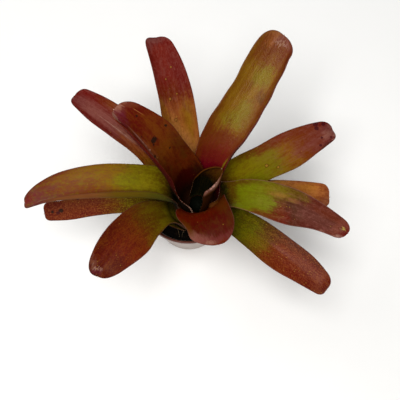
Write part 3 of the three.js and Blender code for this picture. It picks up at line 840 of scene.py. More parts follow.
def leaf_patch():
    """One soft ragged patch of another colour round a place on the leaf; Reach is how far it
    spreads along and across."""
    tree, given, out = group("leaf_patch",
                             {"Color": ["Colour", "Patch"], "Vector": ["Spot", "Place", "Reach"],
                              "Float": ["Cloud", "Amount"]}, {"Color": ["Colour"]})
    away = vector_sum(tree, "SUBTRACT", given["Spot"], given["Place"])[0]
    far = vector_sum(tree, "LENGTH", vector_sum(tree, "DIVIDE", away, given["Reach"])[0])[1]
    far = sum_of(tree, "MULTIPLY_ADD", given["Cloud"], 1.5, far)
    mask = between(tree, far, 1.5, 0.3, 0.0, given["Amount"], "SMOOTHSTEP")
    fill(tree, out, {"Colour": blend(tree, mask, given["Colour"], given["Patch"])})
    return tree


def leaf_mottle():
    """Uneven growth colour, each kind a noise whose peaks darken and whose hollows pale:
    broad clouds, a speckle, streaks along the veins and a fine grit. Over them lie small
    raised specks, each a round spot in its cell, in the share of cells that Specks gives."""
    tree, given, out = group("leaf_mottle",
                             {"Color": ["Colour", "Dark", "Pale", "Speck"], "Vector": ["Flat"],
                              "Float": ["Clouds", "Speckle", "Streaks", "Grit", "Specks"]},
                             {"Color": ["Colour"], "Float": ["Specks"]})
    tone = given["Colour"]
    for scale, detail, amount, depth in (((0.13, 0.26, 5), 4, "Clouds", 0.9),
                                         ((0.42, 0.6, 6), 4, "Speckle", 0.9),
                                         ((0.04, 1.0, 5), 4, "Streaks", 0.7),
                                         ((1.1, 1.5, 4), 3, "Grit", 0.9)):
        field = noise(tree, given["Flat"], scale, detail, 0.68)
        share = times(tree, given[amount], depth)
        for kind, start, full in (("Dark", 0.5, 0.66), ("Pale", 0.49, 0.33)):
            there = times(tree, between(tree, field, start, full), share)
            tone = blend(tree, there, tone, given[kind])
    cells = node(tree, "ShaderNodeMapping", {"Vector": given["Flat"], "Scale": (0.62, 0.8, 5)})
    cell = node(tree, "ShaderNodeTexVoronoi",
                {"Vector": cells.outputs[0], "Scale": 1.0, "Randomness": 1.0})
    chosen = node(tree, "ShaderNodeSeparateColor", {0: cell.outputs["Color"]}).outputs
    size = between(tree, chosen[1], 0, 1, 0.09, 0.24)
    spot = between(tree, sum_of(tree, "DIVIDE", cell.outputs["Distance"], size), 1.0, 0.3)
    kept = between(tree, sum_of(tree, "SUBTRACT", given["Specks"], chosen[0]), 0, 0.1)
    spot = times(tree, spot, kept)
    tone = blend(tree, times(tree, spot, 0.65), tone, given["Speck"])
    fill(tree, out, {"Colour": tone, "Specks": spot})
    return tree


def leaf_margin():
    """The thin pale line of a leaf's margin, partly its own colour and partly a painted highlight, with a
    darker line of painted shade beside it.
    """
    tree, given, out = group("leaf_margin",
                             {"Color": ["Colour", "Beside", "Edge"], "Vector": ["Flat"],
                              "Float": ["Margin", "Width", "Amount"]}, {"Color": ["Colour"]})
    uneven = between(tree, noise(tree, given["Flat"], (0.3, 0.6, 2), 3), 0.2, 0.8, 0.5, 1.5)
    far = sum_of(tree, "DIVIDE", given["Margin"], times(tree, given["Width"], uneven))
    dark = times(tree, between(tree, far, 3.2, 1.2), 0.3)
    pale = times(tree, between(tree, far, 1.3, 0.6), given["Amount"])
    tone = blend(tree, dark, given["Colour"], given["Beside"])
    fill(tree, out, {"Colour": blend(tree, pale, tone, given["Edge"])})
    return tree


def leaf_grain():
    """Height of the skin: fine parallel veins, a pebbled surface and shallow dimples. Dull is
    the pebbled surface alone."""
    tree, given, out = group("leaf_grain", {"Vector": ["Flat"], "Float": ["Pebble"]},
                             {"Float": ["Height", "Dull"]})
    vein = noise(tree, given["Flat"], (0.03, 2.4, 3), 2)
    pebble = noise(tree, given["Flat"], (0.9, 1.2, 3), 4, 0.6)
    dimple = noise(tree, given["Flat"], (0.2, 0.3, 3), 2)
    height = sum_of(tree, "MULTIPLY_ADD", times(tree, pebble, given["Pebble"]), 0.8, vein)
    fill(tree, out, {"Height": sum_of(tree, "MULTIPLY_ADD", dimple, 1.2, height),
                     "Dull": between(tree, pebble, 0.3, 0.7)})
    return tree


def leaf_mark():
    """One blemish at a place in flat millimetres: its mask is 1 inside its ragged edge, and
    Ring is 1 along that edge."""
    tree, given, out = group("leaf_mark",
                             {"Vector": ["Flat", "Place"], "Float": ["Size", "Ragged"]},
                             {"Float": ["Mask", "Ring"]})
    unseeded = vector_sum(tree, "MULTIPLY", given["Flat"], (1, 1, 0))[0]
    far = vector_sum(tree, "DISTANCE", unseeded, given["Place"])[1]
    rough = sum_of(tree, "SUBTRACT", noise(tree, given["Flat"], 0.9, 4, 0.7), 0.5)
    far = sum_of(tree, "DIVIDE", far, given["Size"])
    far = sum_of(tree, "MULTIPLY_ADD", times(tree, rough, given["Ragged"]), 3.0, far)
    ring = times(tree, between(tree, far, 1.4, 1.0), between(tree, far, 0.6, 0.9))
    fill(tree, out, {"Mask": between(tree, far, 1.0, 0.85), "Ring": ring})
    return tree


PLACE, PATCH, MOTTLE = leaf_place(), leaf_patch(), leaf_mottle()
MARGIN, GRAIN, MARK = leaf_margin(), leaf_grain(), leaf_mark()

# The first three tones are painted shade: the near black of the cup's depth, the near black of the leaves'
# feet in it, and a dark brown that is partly the leaves' own colour. The shade tone is painted shade
# beside a margin.
TONES = {name: colour(code) for name, code in {
    "cup_shade": "0c0e06", "deep_shade": "1a0a04", "dark_brown_and_shade": "2a1004", "cocoa": "3e1c04", "umber": "522c04",
    "bottle": "464204", "fern": "565602", "lime": "646a02", "leaf": "747606", "olive": "6c6002",
    "moss": "5c4602", "gold": "8a7c10", "straw": "b8a04c", "ochre": "805a04", "honey": "7a5006",
    "amber": "9c6410", "wheat": "d08a48", "tan": "b0703a", "sand": "a46028", "copper": "8a4820",
    "scurf": "84664a", "sorrel": "72421e", "rust": "6c3402", "russet": "642404", "brick": "601402",
    "maroon": "540601", "blood": "400201", "damson": "501c12", "crimson": "6c1c12",
    "cherry": "5c0402", "carmine": "6c0218", "wine": "6a3020", "plum": "622a28", "grape": "5c1a2c",
    "mauve": "78423a", "rose": "8a5a4c", "shell": "a07a6a", "speck": "b08c2c", "shade": "3a120a",
    "ring": "3c1404", "wart": "a8742c", "scab": "d8a090", "dirt": "0c0c08", "bruise": "3c0a12",
}.items()}
# Raggedness, strength and height of each kind of blemish.
BLEMISHES = {"wart": (0.12, 0.45, 3.0), "scab": (0.5, 0.7, 4.0), "dirt": (0.7, 0.85, 0.0),
             "bruise": (0.4, 0.85, 0.0)}
WART_RING = 0.8
SPECK_HEIGHT = 0.9
WAVER = 0.14
FEATHER = 0.11
GRAIN_DEPTH = 0.00009
UNDER_ROUGHNESS = 0.85
GLOSS_RANGE = 0.14
FROM, TO = -0.3, 1.0


def tone_ramp(tree, along, stops):
    """A smooth run of tones along the leaf, each at its fraction of the blade's length."""
    ramp = node(tree, "ShaderNodeValToRGB", {0: between(tree, along, FROM, TO)})
    ramp.color_ramp.interpolation = "EASE"
    for k, (at, tone) in enumerate(stops):
        place = (at - FROM) / (TO - FROM)
        stop = ramp.color_ramp.elements[k] if k < 2 else ramp.color_ramp.elements.new(place)
        stop.position = place
        stop.color = TONES[tone]
    return ramp.outputs[0]


def patched(tree, tone, put, patches):
    """The tone with each listed patch laid over it in turn."""
    for patch, along, across, long, wide, amount in patches:
        tone = use(tree, PATCH, {"Colour": tone, "Patch": TONES[patch], "Spot": put["Spot"],
                                 "Cloud": put["Cloud"], "Place": (along, across, 0),
                                 "Reach": (long, wide, 1), "Amount": amount})["Colour"]
    return tone


def mottled(tree, tone, put, leaf):
    """The tone with the leaf's mottle over it, which fades out towards the neck and whose
    dark and pale change half way along the blade; and the height of its specks."""
    dark, pale, clouds, speckle, streaks, specks = leaf["mottle"]
    outer = between(tree, put["Along"], 0.34, 0.58)
    dark, pale = (blend(tree, outer, TONES[near], TONES[far]) for near, far in (dark, pale))
    blade = between(tree, put["Along"], -0.05, 0.15)
    made = use(tree, MOTTLE, {"Colour": tone, "Flat": put["Flat"], "Dark": dark, "Pale": pale,
                              "Clouds": times(tree, blade, clouds),
                              "Speckle": times(tree, blade, speckle), "Streaks": streaks,
                              "Grit": leaf["grit"], "Specks": specks, "Speck": TONES["speck"]})
    return made["Colour"], times(tree, made["Specks"], SPECK_HEIGHT)


def under_face(tree, put, leaf):
    """The under face: its own tones and patches, lightened by scurf along the veins."""
    scurf = between(tree, noise(tree, put["Flat"], (0.12, 0.7, 2), 4, 0.6), 0.45, 0.7, 0, 0.25)
    tone = patched(tree, tone_ramp(tree, put["Along"], leaf["under"]), put, leaf["under_patches"])
    return blend(tree, scurf, tone, TONES["scurf"], "SOFT_LIGHT")


def blemished(tree, tone, height, put, leaf):
    """The tone and the height with the leaf's blemishes over them."""
    for kind, along, across, size in leaf["marks"]:
        ragged, strength, raised = BLEMISHES[kind]
        spot = use(tree, MARK, {"Flat": put["Flat"], "Place": (along, across, 0), "Size": size,
                                "Ragged": ragged})
        if kind == "wart":
            tone = blend(tree, times(tree, spot["Ring"], WART_RING), tone, TONES["ring"])
        tone = blend(tree, times(tree, spot["Mask"], strength), tone, TONES[kind])
        if raised:
            height = sum_of(tree, "MULTIPLY_ADD", spot["Mask"], raised, height)
    return tone, height


def leaf_leather(leaf):
    """A leaf's skin: its tones from neck to tip, with painted shade towards the neck, and patches and
    mottle on the hollow face, some patches painted highlights and painted shade; the scurfy under face,
    then the blemishes and the margin. It is glossy above and dull below, and its relief is the grain with
    the specks and blemishes on it."""
    material, tree, skin = start_material(leaf["name"] + "_skin", Specular_Tint=(1, 0.85, 0.65, 1),
                                          Specular_IOR_Level=leaf["shine"])
    put = use(tree, PLACE, {"Waver": WAVER, "Feather": FEATHER, "Seed": float(leaf["seed"])})
    tone = patched(tree, tone_ramp(tree, put["Along"], leaf["tones"]), put, leaf["patches"])
    tone, height = mottled(tree, tone, put, leaf)
    tone = blend(tree, put["Hollow"], under_face(tree, put, leaf), tone)
    tone, height = blemished(tree, tone, height, put, leaf)
    edge, edge_width, edge_amount = leaf["edge"]
    edged = use(tree, MARGIN, {"Colour": tone, "Margin": put["Margin"], "Flat": put["Flat"],
                               "Beside": TONES["shade"], "Edge": TONES[edge],
                               "Width": edge_width, "Amount": edge_amount})
    grain = use(tree, GRAIN, {"Flat": put["Flat"], "Pebble": leaf["pebble"]})
    dull = between(tree, grain["Dull"], 0, 1, leaf["gloss"], leaf["gloss"] + GLOSS_RANGE)
    height = sum_of(tree, "ADD", height, grain["Height"])
    fill(tree, skin, {"Base Color": edged["Colour"],
                      "Roughness": between(tree, put["Hollow"], 0, 1, UNDER_ROUGHNESS, dull),
                      "Normal": relief(tree, height, GRAIN_DEPTH)})
    return material


HORN_PALE = "d0a890"
HORN_DARK = "8a5844"


def horn():
    """The dry horn of the spines and of the leaf's point."""
    material, tree, skin = start_material("leaf_spine", Specular_IOR_Level=0.3)
    where = object_place(tree)
    tone = blend(tree, noise(tree, where, 500, 3), colour(HORN_PALE), colour(HORN_DARK))
    rough = between(tree, noise(tree, where, 900, 2), 0.3, 0.7, 0.4, 0.6)
    fill(tree, skin, {"Base Color": tone, "Roughness": rough})
    return material


HORN = horn()

# What most leaves share. A leaf names only what differs. Spines and horn are lengths, edge is
# the tone, width and strength of the margin's line, and the last four are gloss and grain.
PLAIN_LEAF = {
    "curl": (0, 0), "ripple": 0.1, "spines": (1, 1), "horn": 0.7,
    "under": ((0.1, "moss"), (0.45, "rust")), "under_patches": (), "marks": (),
    "edge": ("mauve", 0.2, 0.15), "shine": 0.12, "gloss": 0.46, "pebble": 1.0, "grit": 0.25,
}
# Under faces of the low leaves: the dark brown near the neck is painted shade, partly the leaves' own
# colour.
LOW_UNDER = ((-0.25, "moss"), (-0.1, "umber"), (0.1, "dark_brown_and_shade"), (0.45, "rust"))


def grow(name, seed, **own):
    """Makes one leaf in place of its plain solid, with its spines and its horny point.

    Shape: heading and turn in degrees round the plant, length in millimetres, rise the four
    slopes of the blade's arch, left and right the half widths from neck to tip, wrap the half
    angle of the sheath, gutter the tilt of the margins at neck and tip, curl that of the left
    and right margin, roll the twist, tip, blunt and hook the tip's length, form and bend.
    Looks: tones from neck to tip; patches as tone, place along and across, reach along and
    across, strength; mottle as dark and pale tones, each near and far, then clouds, speckle,
    streaks and specks; marks as kind, millimetres along and across, size."""
    leaf = {**PLAIN_LEAF, **own, "name": name, "seed": seed}
    leaf.update(stages(leaf))
    points, faces, strap, flat, sheet = leaf_solid(leaf)
    skin_faces = len(faces)
    horny = [spine_points(leaf, sheet), horn_points(leaf, sheet)]
    whole, faces = gather([(points, faces), *horny])
    slots = np.arange(len(faces)) >= skin_faces
    piece = make_piece(name + "_strap", whole, faces, [leaf_leather(leaf), HORN], slots)
    for label, values in (("strap", strap), ("flat", flat)):
        layer = piece.data.attributes.new(label, "FLOAT_VECTOR", "POINT")
        full = np.concatenate([values, np.zeros((len(whole) - len(points), 3))])
        layer.data.foreach_set("vector", full.astype(np.float32).ravel())
    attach(piece, "root")
    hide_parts(name)


grow("leaf_right_low", 1, ring=1, heading=0, turn=-2, length=60, rise=(46, 14, -4, -12),
     left=(8, 8, 8.5, 8, 7.5, 7), right=(8, 8, 8.5, 8, 7.5, 7),
     wrap=46, gutter=(22, 16), roll=0, tip=6, blunt=2.3, hook=32,
     tones=((-0.2, "deep_shade"), (0.1, "olive"), (0.45, "ochre"), (0.7, "copper"), (0.84, "sand"),
            (0.93, "copper"), (1, "copper")),
     patches=(("amber", 0.74, 0.5, 0.14, 0.4, 0.7), ("rust", 0.76, 0.95, 0.14, 0.2, 0.6),
              ("mauve", 0.95, -0.6, 0.06, 0.4, 0.5), ("crimson", 0.95, 0.3, 0.04, 0.5, 0.35),
              ("russet", 0.8, -0.4, 0.1, 0.3, 0.5)),
     mottle=(("brick", "brick"), ("amber", "tan"), 0.35, 0.4, 0.3, 0.2))
grow("leaf_left_low", 2, ring=1, heading=187.5, turn=0, length=73, rise=(50, 9.5, -12.5, -5.5),
     left=(7.8, 7, 6.4, 6.4, 6.6, 4.7), right=(7.7, 7, 6.5, 6, 5.5, 6),
     wrap=58, gutter=(22, 14), roll=-8.5, tip=4.5, blunt=2.5, hook=34,
     tones=((-0.1, "cup_shade"), (0.03, "deep_shade"), (0.12, "moss"), (0.32, "moss"), (0.45, "rust"),
            (0.58, "russet"), (0.8, "russet"), (0.93, "maroon"), (1, "cherry")),
     # The near black patch at the neck is painted shade.
     patches=(("cup_shade", 0.0, 0.75, 0.14, 0.5, 0.95), ("maroon", 0.5, 0.75, 0.3, 0.45, 0.9),
              ("umber", 0.34, 0.8, 0.12, 0.35, 0.7), ("rust", 0.72, -0.85, 0.12, 0.2, 0.7),
              ("maroon", 0.93, -0.6, 0.06, 0.6, 0.8)),
     mottle=(("umber", "maroon"), ("gold", "copper"), 0.35, 0.5, 0.15, 0.3), grit=1.0, pebble=4.0,
     edge=("cocoa", 0.2, 0.15), spines=(0.5, 0.5), under=LOW_UNDER,
     marks=(("dirt", 62.5, 0.4, 1.3), ("bruise", 64.3, 1.4, 1.2), ("dirt", 67.7, 0.2, 0.9),
            ("bruise", 52, -5, 0.9)))
grow("leaf_right_back", 3, ring=2, heading=22.5, turn=4.5, length=76.5, rise=(57, 21.5, 6.5, -7.5),
     left=(11, 12.5, 11, 11, 9, 5.5), right=(10.5, 11, 11, 12, 9, 5.5),
     wrap=50, gutter=(33, 20), roll=4, tip=8.4, blunt=2.6, hook=42,
     tones=((-0.15, "deep_shade"), (0.04, "umber"), (0.2, "olive"), (0.46, "olive"), (0.6, "honey"),
            (0.7, "rust"), (0.8, "wine"), (0.92, "plum"), (0.955, "mauve"), (1, "crimson")),
     # The two mauve patches just right of the midrib are painted sheen, and the shell line at the tip is a
     # painted highlight on the crease.
     patches=(("lime", 0.28, -0.55, 0.18, 0.5, 0.5), ("umber", 0.33, 0.9, 0.16, 0.3, 0.8),
              ("brick", 0.52, 0.85, 0.16, 0.4, 0.9), ("russet", 0.74, 0.7, 0.14, 0.4, 0.7),
              ("mauve", 0.66, -0.3, 0.06, 0.25, 0.4), ("mauve", 0.76, -0.25, 0.06, 0.2, 0.5),
              ("maroon", 0.88, 0.9, 0.08, 0.25, 0.9), ("dark_brown_and_shade", 0.88, -0.95, 0.06, 0.2, 0.7),
              ("shell", 0.975, -0.8, 0.02, 0.3, 0.7), ("rose", 0.9, -0.2, 0.05, 0.35, 0.8)),
     mottle=(("umber", "brick"), ("olive", "mauve"), 0.4, 0.45, 0.3, 0.15), shine=0.05,
     marks=(("wart", 30.5, -1.8, 0.9), ("wart", 36, -6.2, 0.8), ("bruise", 66.5, 7.2, 1.7),
            ("bruise", 66, 4.4, 1.4), ("bruise", 70.5, 5.2, 1.2), ("bruise", 66, -2, 0.8),
            ("bruise", 63, -6, 0.9), ("bruise", 71, -4, 0.7)))
grow("leaf_front_left", 4, ring=2, heading=214, turn=23, length=72.5, rise=(79, 38, 1, -6.5),
     left=(4, 7, 10.5, 14, 11.5, 5.5), right=(4, 8.5, 12, 12.5, 11, 6.5),
     wrap=37, gutter=(51, 25.5), roll=-18.5, tip=9.2, blunt=2.6, hook=46,
     tones=((-0.2, "cup_shade"), (-0.08, "bottle"), (0.06, "olive"), (0.2, "moss"), (0.38, "umber"),
            (0.54, "russet"), (0.7, "brick"), (0.85, "maroon"), (1, "blood")),
     # The near black patch at the neck is painted shade, and the shell line at the tip is a painted
     # highlight on the rim of the crease.
     patches=(("cup_shade", -0.05, 0.85, 0.18, 0.45, 0.95), ("gold", 0.0, -0.25, 0.15, 0.3, 0.8),
              ("gold", 0.17, 0.55, 0.1, 0.35, 0.6), ("olive", 0.27, 0.8, 0.1, 0.35, 0.7),
              ("moss", 0.34, -0.6, 0.12, 0.4, 0.7), ("moss", 0.44, 0.9, 0.1, 0.3, 0.7),
              ("blood", 0.86, 0.6, 0.1, 0.4, 0.6), ("blood", 0.7, -0.75, 0.14, 0.35, 0.5),
              ("gold", -0.13, 0.0, 0.1, 0.25, 0.7), ("grape", 0.98, -0.2, 0.025, 0.8, 0.8),
              ("shell", 0.955, -0.35, 0.016, 0.45, 0.8), ("rose", 0.92, -0.8, 0.03, 0.3, 0.5),
              ("blood", 0.985, 0.75, 0.03, 0.4, 0.9)),
     mottle=(("umber", "blood"), ("olive", "rust"), 0.5, 0.5, 0.2, 0.3), grit=0.6, pebble=2.5,
     under=LOW_UNDER)
grow("leaf_left_back", 5, ring=3, heading=141, turn=7, length=82, rise=(60.5, 36.5, 12.5, -0.5),
     left=(9, 9.5, 8.5, 9.5, 9, 5), right=(8.5, 9, 9, 9.5, 8.5, 6),
     wrap=36, gutter=(35, 13.5), roll=5.5, tip=5.9, blunt=2.4, hook=39,
     tones=((0, "deep_shade"), (0.18, "rust"), (0.36, "rust"), (0.5, "wine"), (0.66, "mauve"), (0.84, "mauve"),
            (0.95, "plum"), (1, "brick")),
     patches=(("ochre", 0.26, 0.6, 0.1, 0.4, 0.8), ("copper", 0.46, 0.45, 0.1, 0.3, 0.8),
              ("rose", 0.52, 0.27, 0.1, 0.16, 0.9), ("cherry", 0.8, -0.68, 0.28, 0.5, 1.0),
              ("rust", 0.72, -0.75, 0.12, 0.35, 0.8), ("maroon", 0.8, 0.95, 0.3, 0.3, 1.0),
              ("shell", 0.6, 0.32, 0.16, 0.025, 0.9), ("rust", 0.44, 0.95, 0.14, 0.2, 0.7)),
     mottle=(("brick", "maroon"), ("sand", "mauve"), 0.4, 0.35, 0.6, 0.1), shine=0.05)
grow("leaf_front_right", 6, ring=3, heading=319, turn=3.5, length=82.5, rise=(60.5, 22, -5, -14),
     left=(7.5, 9.5, 10, 9.5, 9, 5.5), right=(7, 7.5, 9.5, 11, 8.5, 5.5),
     wrap=56, gutter=(36.5, 22), roll=2.5, tip=7.1, blunt=2.5, hook=37.5,
     tones=((-0.1, "deep_shade"), (0.05, "bottle"), (0.18, "fern"), (0.34, "fern"), (0.46, "moss"),
            (0.57, "russet"), (0.7, "brick"), (0.85, "maroon"), (0.93, "wine"), (1, "maroon")),
     # The dark brown patch near the left margin is painted shade, and the two mauve patches are painted
     # sheen.
     patches=(("bottle", 0.34, -0.95, 0.16, 0.3, 0.8), ("bottle", 0.26, 0.5, 0.08, 0.4, 0.7),
              ("olive", 0.42, -0.35, 0.1, 0.35, 0.6), ("dark_brown_and_shade", 0.58, 0.85, 0.28, 0.35, 0.8),
              ("cocoa", 0.5, 0.5, 0.1, 0.4, 0.6), ("mauve", 0.86, 0.2, 0.12, 0.4, 0.5),
              ("maroon", 0.97, 0, 0.03, 1, 0.6), ("wine", 0.72, 0.15, 0.18, 0.22, 0.6),
              ("mauve", 0.62, 0.12, 0.1, 0.12, 0.5)),
     mottle=(("cocoa", "maroon"), ("olive", "copper"), 0.4, 0.4, 0.2, 0.6), grit=0.75, pebble=5.0,
     shine=0.13, gloss=0.3)
grow("leaf_back_left", 7, ring=4, heading=105, turn=4.5, length=86, rise=(65, 46, 36, 9.5),
     left=(6, 9.5, 11.5, 10, 8.5, 7.5), right=(6, 8.5, 10, 11, 10, 6.5),
     wrap=56, gutter=(35.5, 24.5), roll=12.5, tip=8.4, blunt=2.3, hook=48,
     tones=((0, "deep_shade"), (0.12, "copper"), (0.22, "tan"), (0.34, "sand"), (0.5, "copper"),
            (0.6, "russet"), (0.72, "crimson"), (0.9, "crimson"), (0.96, "plum"), (1, "plum")),
     # The thin mauve line at the tip is a painted highlight on the crease.
     patches=(("wheat", 0.24, 0.0, 0.12, 0.4, 0.7), ("wheat", 0.36, 0.4, 0.1, 0.3, 0.5),
              ("ochre", 0.42, -0.6, 0.14, 0.45, 0.85), ("copper", 0.34, -0.95, 0.2, 0.25, 0.6),
              ("amber", 0.44, 0.8, 0.08, 0.3, 0.8), ("cherry", 0.74, -0.65, 0.22, 0.45, 1.0),
              ("honey", 0.55, 0.95, 0.05, 0.25, 0.7), ("maroon", 0.8, 0.95, 0.16, 0.25, 0.8),
              ("mauve", 0.96, 0, 0.018, 0.9, 0.6)),
     mottle=(("russet", "maroon"), ("ochre", "mauve"), 0.4, 0.4, 0.3, 0.15), shine=0.07,
     marks=(("wart", 37, 2.4, 0.8), ("wart", 49.5, 2.8, 0.9), ("wart", 51, -2, 0.6),
            ("wart", 60.5, 2, 0.6), ("wart", 66, -3, 0.6)))
grow("leaf_right", 8, ring=5, heading=347, turn=-16, length=85, rise=(78, 21, -1, -7.5),
     left=(7, 9.5, 10, 9.5, 7, 4), right=(4, 7.5, 10.5, 11.5, 7.5, 5.5),
     wrap=56, gutter=(52, 21), roll=21, tip=6.8, blunt=2, hook=43,
     tones=((-0.25, "copper"), (-0.1, "russet"), (0.04, "cup_shade"), (0.13, "umber"), (0.23, "lime"),
            (0.44, "lime"), (0.52, "umber"), (0.6, "cocoa"), (0.72, "damson"), (0.86, "damson"),
            (0.92, "wine"), (1, "crimson")),
     # The two faint tan patches left of the midrib are painted highlights.
     patches=(("brick", 0.54, -0.75, 0.08, 0.6, 0.9), ("olive", 0.5, 0.6, 0.1, 0.45, 0.9),
              ("moss", 0.62, 0.75, 0.08, 0.35, 0.9), ("umber", 0.24, 0.95, 0.16, 0.3, 0.9),
              ("brick", 0.45, -0.95, 0.12, 0.3, 0.9), ("russet", 0.8, 0.5, 0.1, 0.4, 0.6),
              ("rose", 0.945, 0, 0.02, 0.4, 0.7), ("tan", 0.5, 0.35, 0.05, 0.15, 0.3),
              ("tan", 0.6, 0.28, 0.05, 0.12, 0.3), ("straw", 0.95, 0.12, 0.02, 0.2, 1.0),
              ("cherry", 0.97, -0.4, 0.02, 0.3, 0.8), ("shell", 0.96, -0.9, 0.03, 0.25, 0.7),
              ("rose", 0.84, -0.95, 0.03, 0.15, 0.6)),
     mottle=(("moss", "blood"), ("leaf", "mauve"), 0.35, 0.45, 0.25, 0.15), edge=("rose", 0.18, 0.4))
grow("leaf_left", 9, ring=5, heading=187.5, turn=2, length=101, rise=(89, 28.5, -4, -20.5),
     left=(6, 12, 13.5, 11.5, 7.5, 6.5), right=(9, 12.5, 12, 12, 10, 3.5),
     wrap=36, gutter=(62.5, 26.5), curl=(92, 0), roll=-3, tip=12.4, blunt=3.1, hook=12,
     tones=((-0.25, "copper"), (-0.1, "cup_shade"), (0.06, "deep_shade"), (0.15, "moss"), (0.24, "olive"),
            (0.4, "olive"), (0.52, "honey"), (0.64, "rust"), (0.76, "rust"), (0.85, "russet"),
            (0.94, "plum"), (1, "maroon")),
     # The near black patches at the neck are painted shade.
     patches=(("plum", 0.85, 0.3, 0.1, 0.3, 0.8), ("plum", 0.72, 0.15, 0.08, 0.12, 0.5),
              ("plum", 0.82, -0.35, 0.06, 0.15, 0.5), ("gold", 0.32, -0.05, 0.1, 0.35, 0.5),
              ("cup_shade", 0.08, 0.75, 0.16, 0.5, 0.98), ("deep_shade", 0.04, -0.6, 0.08, 0.4, 0.8),
              ("umber", 0.16, -0.7, 0.08, 0.4, 0.7), ("dark_brown_and_shade", 0.26, 0.55, 0.08, 0.2, 0.8),
              ("umber", 0.45, 0.35, 0.2, 0.16, 0.85), ("ochre", 0.6, -0.7, 0.16, 0.35, 0.6),
              ("russet", 0.66, 0.3, 0.16, 0.14, 0.8), ("rust", 0.62, 0.75, 0.2, 0.25, 0.8),
              ("shell", 0.88, 0.55, 0.05, 0.2, 0.7), ("leaf", 0.44, -0.2, 0.08, 0.3, 0.5),
              ("cherry", 0.86, -1.0, 0.2, 0.16, 0.9), ("carmine", 1.0, 0.3, 0.07, 0.9, 0.85)),
     mottle=(("umber", "plum"), ("gold", "olive"), 0.45, 0.45, 0.2, 0.1),
     under=((-0.25, "moss"), (-0.1, "umber"), (0.06, "cup_shade"), (0.16, "cup_shade"), (0.27, "bottle"),
            (0.48, "moss"), (0.64, "sorrel"), (0.82, "sorrel"), (0.92, "plum"), (1, "cherry")))
grow("leaf_back_right", 10, ring=6, heading=57, turn=1, length=96, rise=(82, 39, 3.5, 21),
     left=(9, 13.5, 14.5, 12.5, 12.5, 11.5), right=(7, 11.5, 16.5, 16.5, 14, 9.5),
     wrap=50, gutter=(63, 30), curl=(0, 66), roll=19, tip=11.2, blunt=2, hook=24.5, ripple=0.5,
     tones=((-0.2, "deep_shade"), (0.0, "carmine"), (0.1, "carmine"), (0.2, "crimson"), (0.33, "rust"),
            (0.42, "ochre"), (0.6, "ochre"), (0.74, "ochre"), (0.83, "rust"), (0.92, "russet"),
            (0.97, "mauve"), (1, "mauve")),
     # The leaf patches down the middle are its olive with painted highlights on it, the thin umber patch
     # between them is painted shade in a dip, the shell line at the tip is a painted highlight on the
     # crease and the near black patch at the neck is painted shade.
     patches=(("rust", 0.55, -0.5, 0.2, 0.3, 0.7), ("deep_shade", 0.02, 0.95, 0.1, 0.3, 0.7),
              ("sand", 0.95, 0.6, 0.05, 0.5, 0.55), ("shell", 0.955, -0.15, 0.012, 0.5, 0.8),
              ("cherry", 0.975, -0.3, 0.014, 0.25, 0.8), ("rust", 0.35, 0.95, 0.3, 0.25, 0.8),
              ("honey", 0.75, 0.95, 0.2, 0.2, 0.6), ("leaf", 0.44, 0.1, 0.05, 0.5, 0.5),
              ("leaf", 0.52, -0.1, 0.06, 0.3, 0.5), ("russet", 0.66, 0.3, 0.06, 0.3, 0.35),
              ("russet", 0.3, 0.1, 0.06, 0.5, 0.4), ("leaf", 0.73, -0.1, 0.06, 0.4, 0.5),
              ("umber", 0.63, -0.5, 0.03, 0.2, 0.8), ("brick", 0.6, -0.92, 0.45, 0.2, 0.95),
              ("gold", 0.15, -0.62, 0.06, 0.07, 1.0), ("russet", 0.62, -0.62, 0.3, 0.08, 0.7)),
     mottle=(("cherry", "russet"), ("crimson", "honey"), 0.45, 0.3, 0.15, 0.1), pebble=7, shine=0.3,
     gloss=0.3, under=((0.1, "deep_shade"), (0.45, "brick")))
grow("leaf_front", 11, ring=6, heading=285, turn=8, length=38.5, rise=(90, 74, 19, -40),
     left=(20.5, 17.5, 14.5, 14, 13, 10.5), right=(18.5, 18.5, 16, 13.5, 13.5, 10),
     wrap=61, gutter=(40, 17), roll=13, tip=11.4, blunt=1.8, hook=17.5,
     tones=((-0.2, "russet"), (0.1, "brick"), (0.3, "brick"), (0.46, "maroon"), (0.6, "blood"),
            (0.82, "blood"), (0.9, "plum"), (0.96, "mauve"), (1, "wine")),
     # The rose and mauve patches along the right margin and at the tip are its pink flush with a painted
     # highlight on the fold.
     patches=(("rose", 0.77, -1.0, 0.12, 0.3, 0.9), ("gold", 0.12, 0.45, 0.03, 0.06, 0.7),
              ("russet", 0.25, 0.8, 0.25, 0.35, 0.8), ("umber", 0.6, -0.95, 0.16, 0.16, 0.8),
              ("cocoa", 0.7, 0.9, 0.16, 0.2, 0.7), ("umber", 0.45, 0.75, 0.16, 0.35, 0.6),
              ("rust", 0.32, 0.2, 0.03, 0.6, 0.5), ("mauve", 0.84, -0.85, 0.1, 0.45, 1.0),
              ("brick", 0.97, 0.7, 0.06, 0.6, 1.0), ("rose", 0.94, -0.6, 0.03, 0.4, 0.9),
              ("cherry", 0.97, -0.1, 0.02, 0.2, 0.7)),
     mottle=(("blood", "umber"), ("rust", "maroon"), 0.4, 0.35, 0.15, 0.1), shine=0.06,
     edge=("rose", 0.12, 0.3))
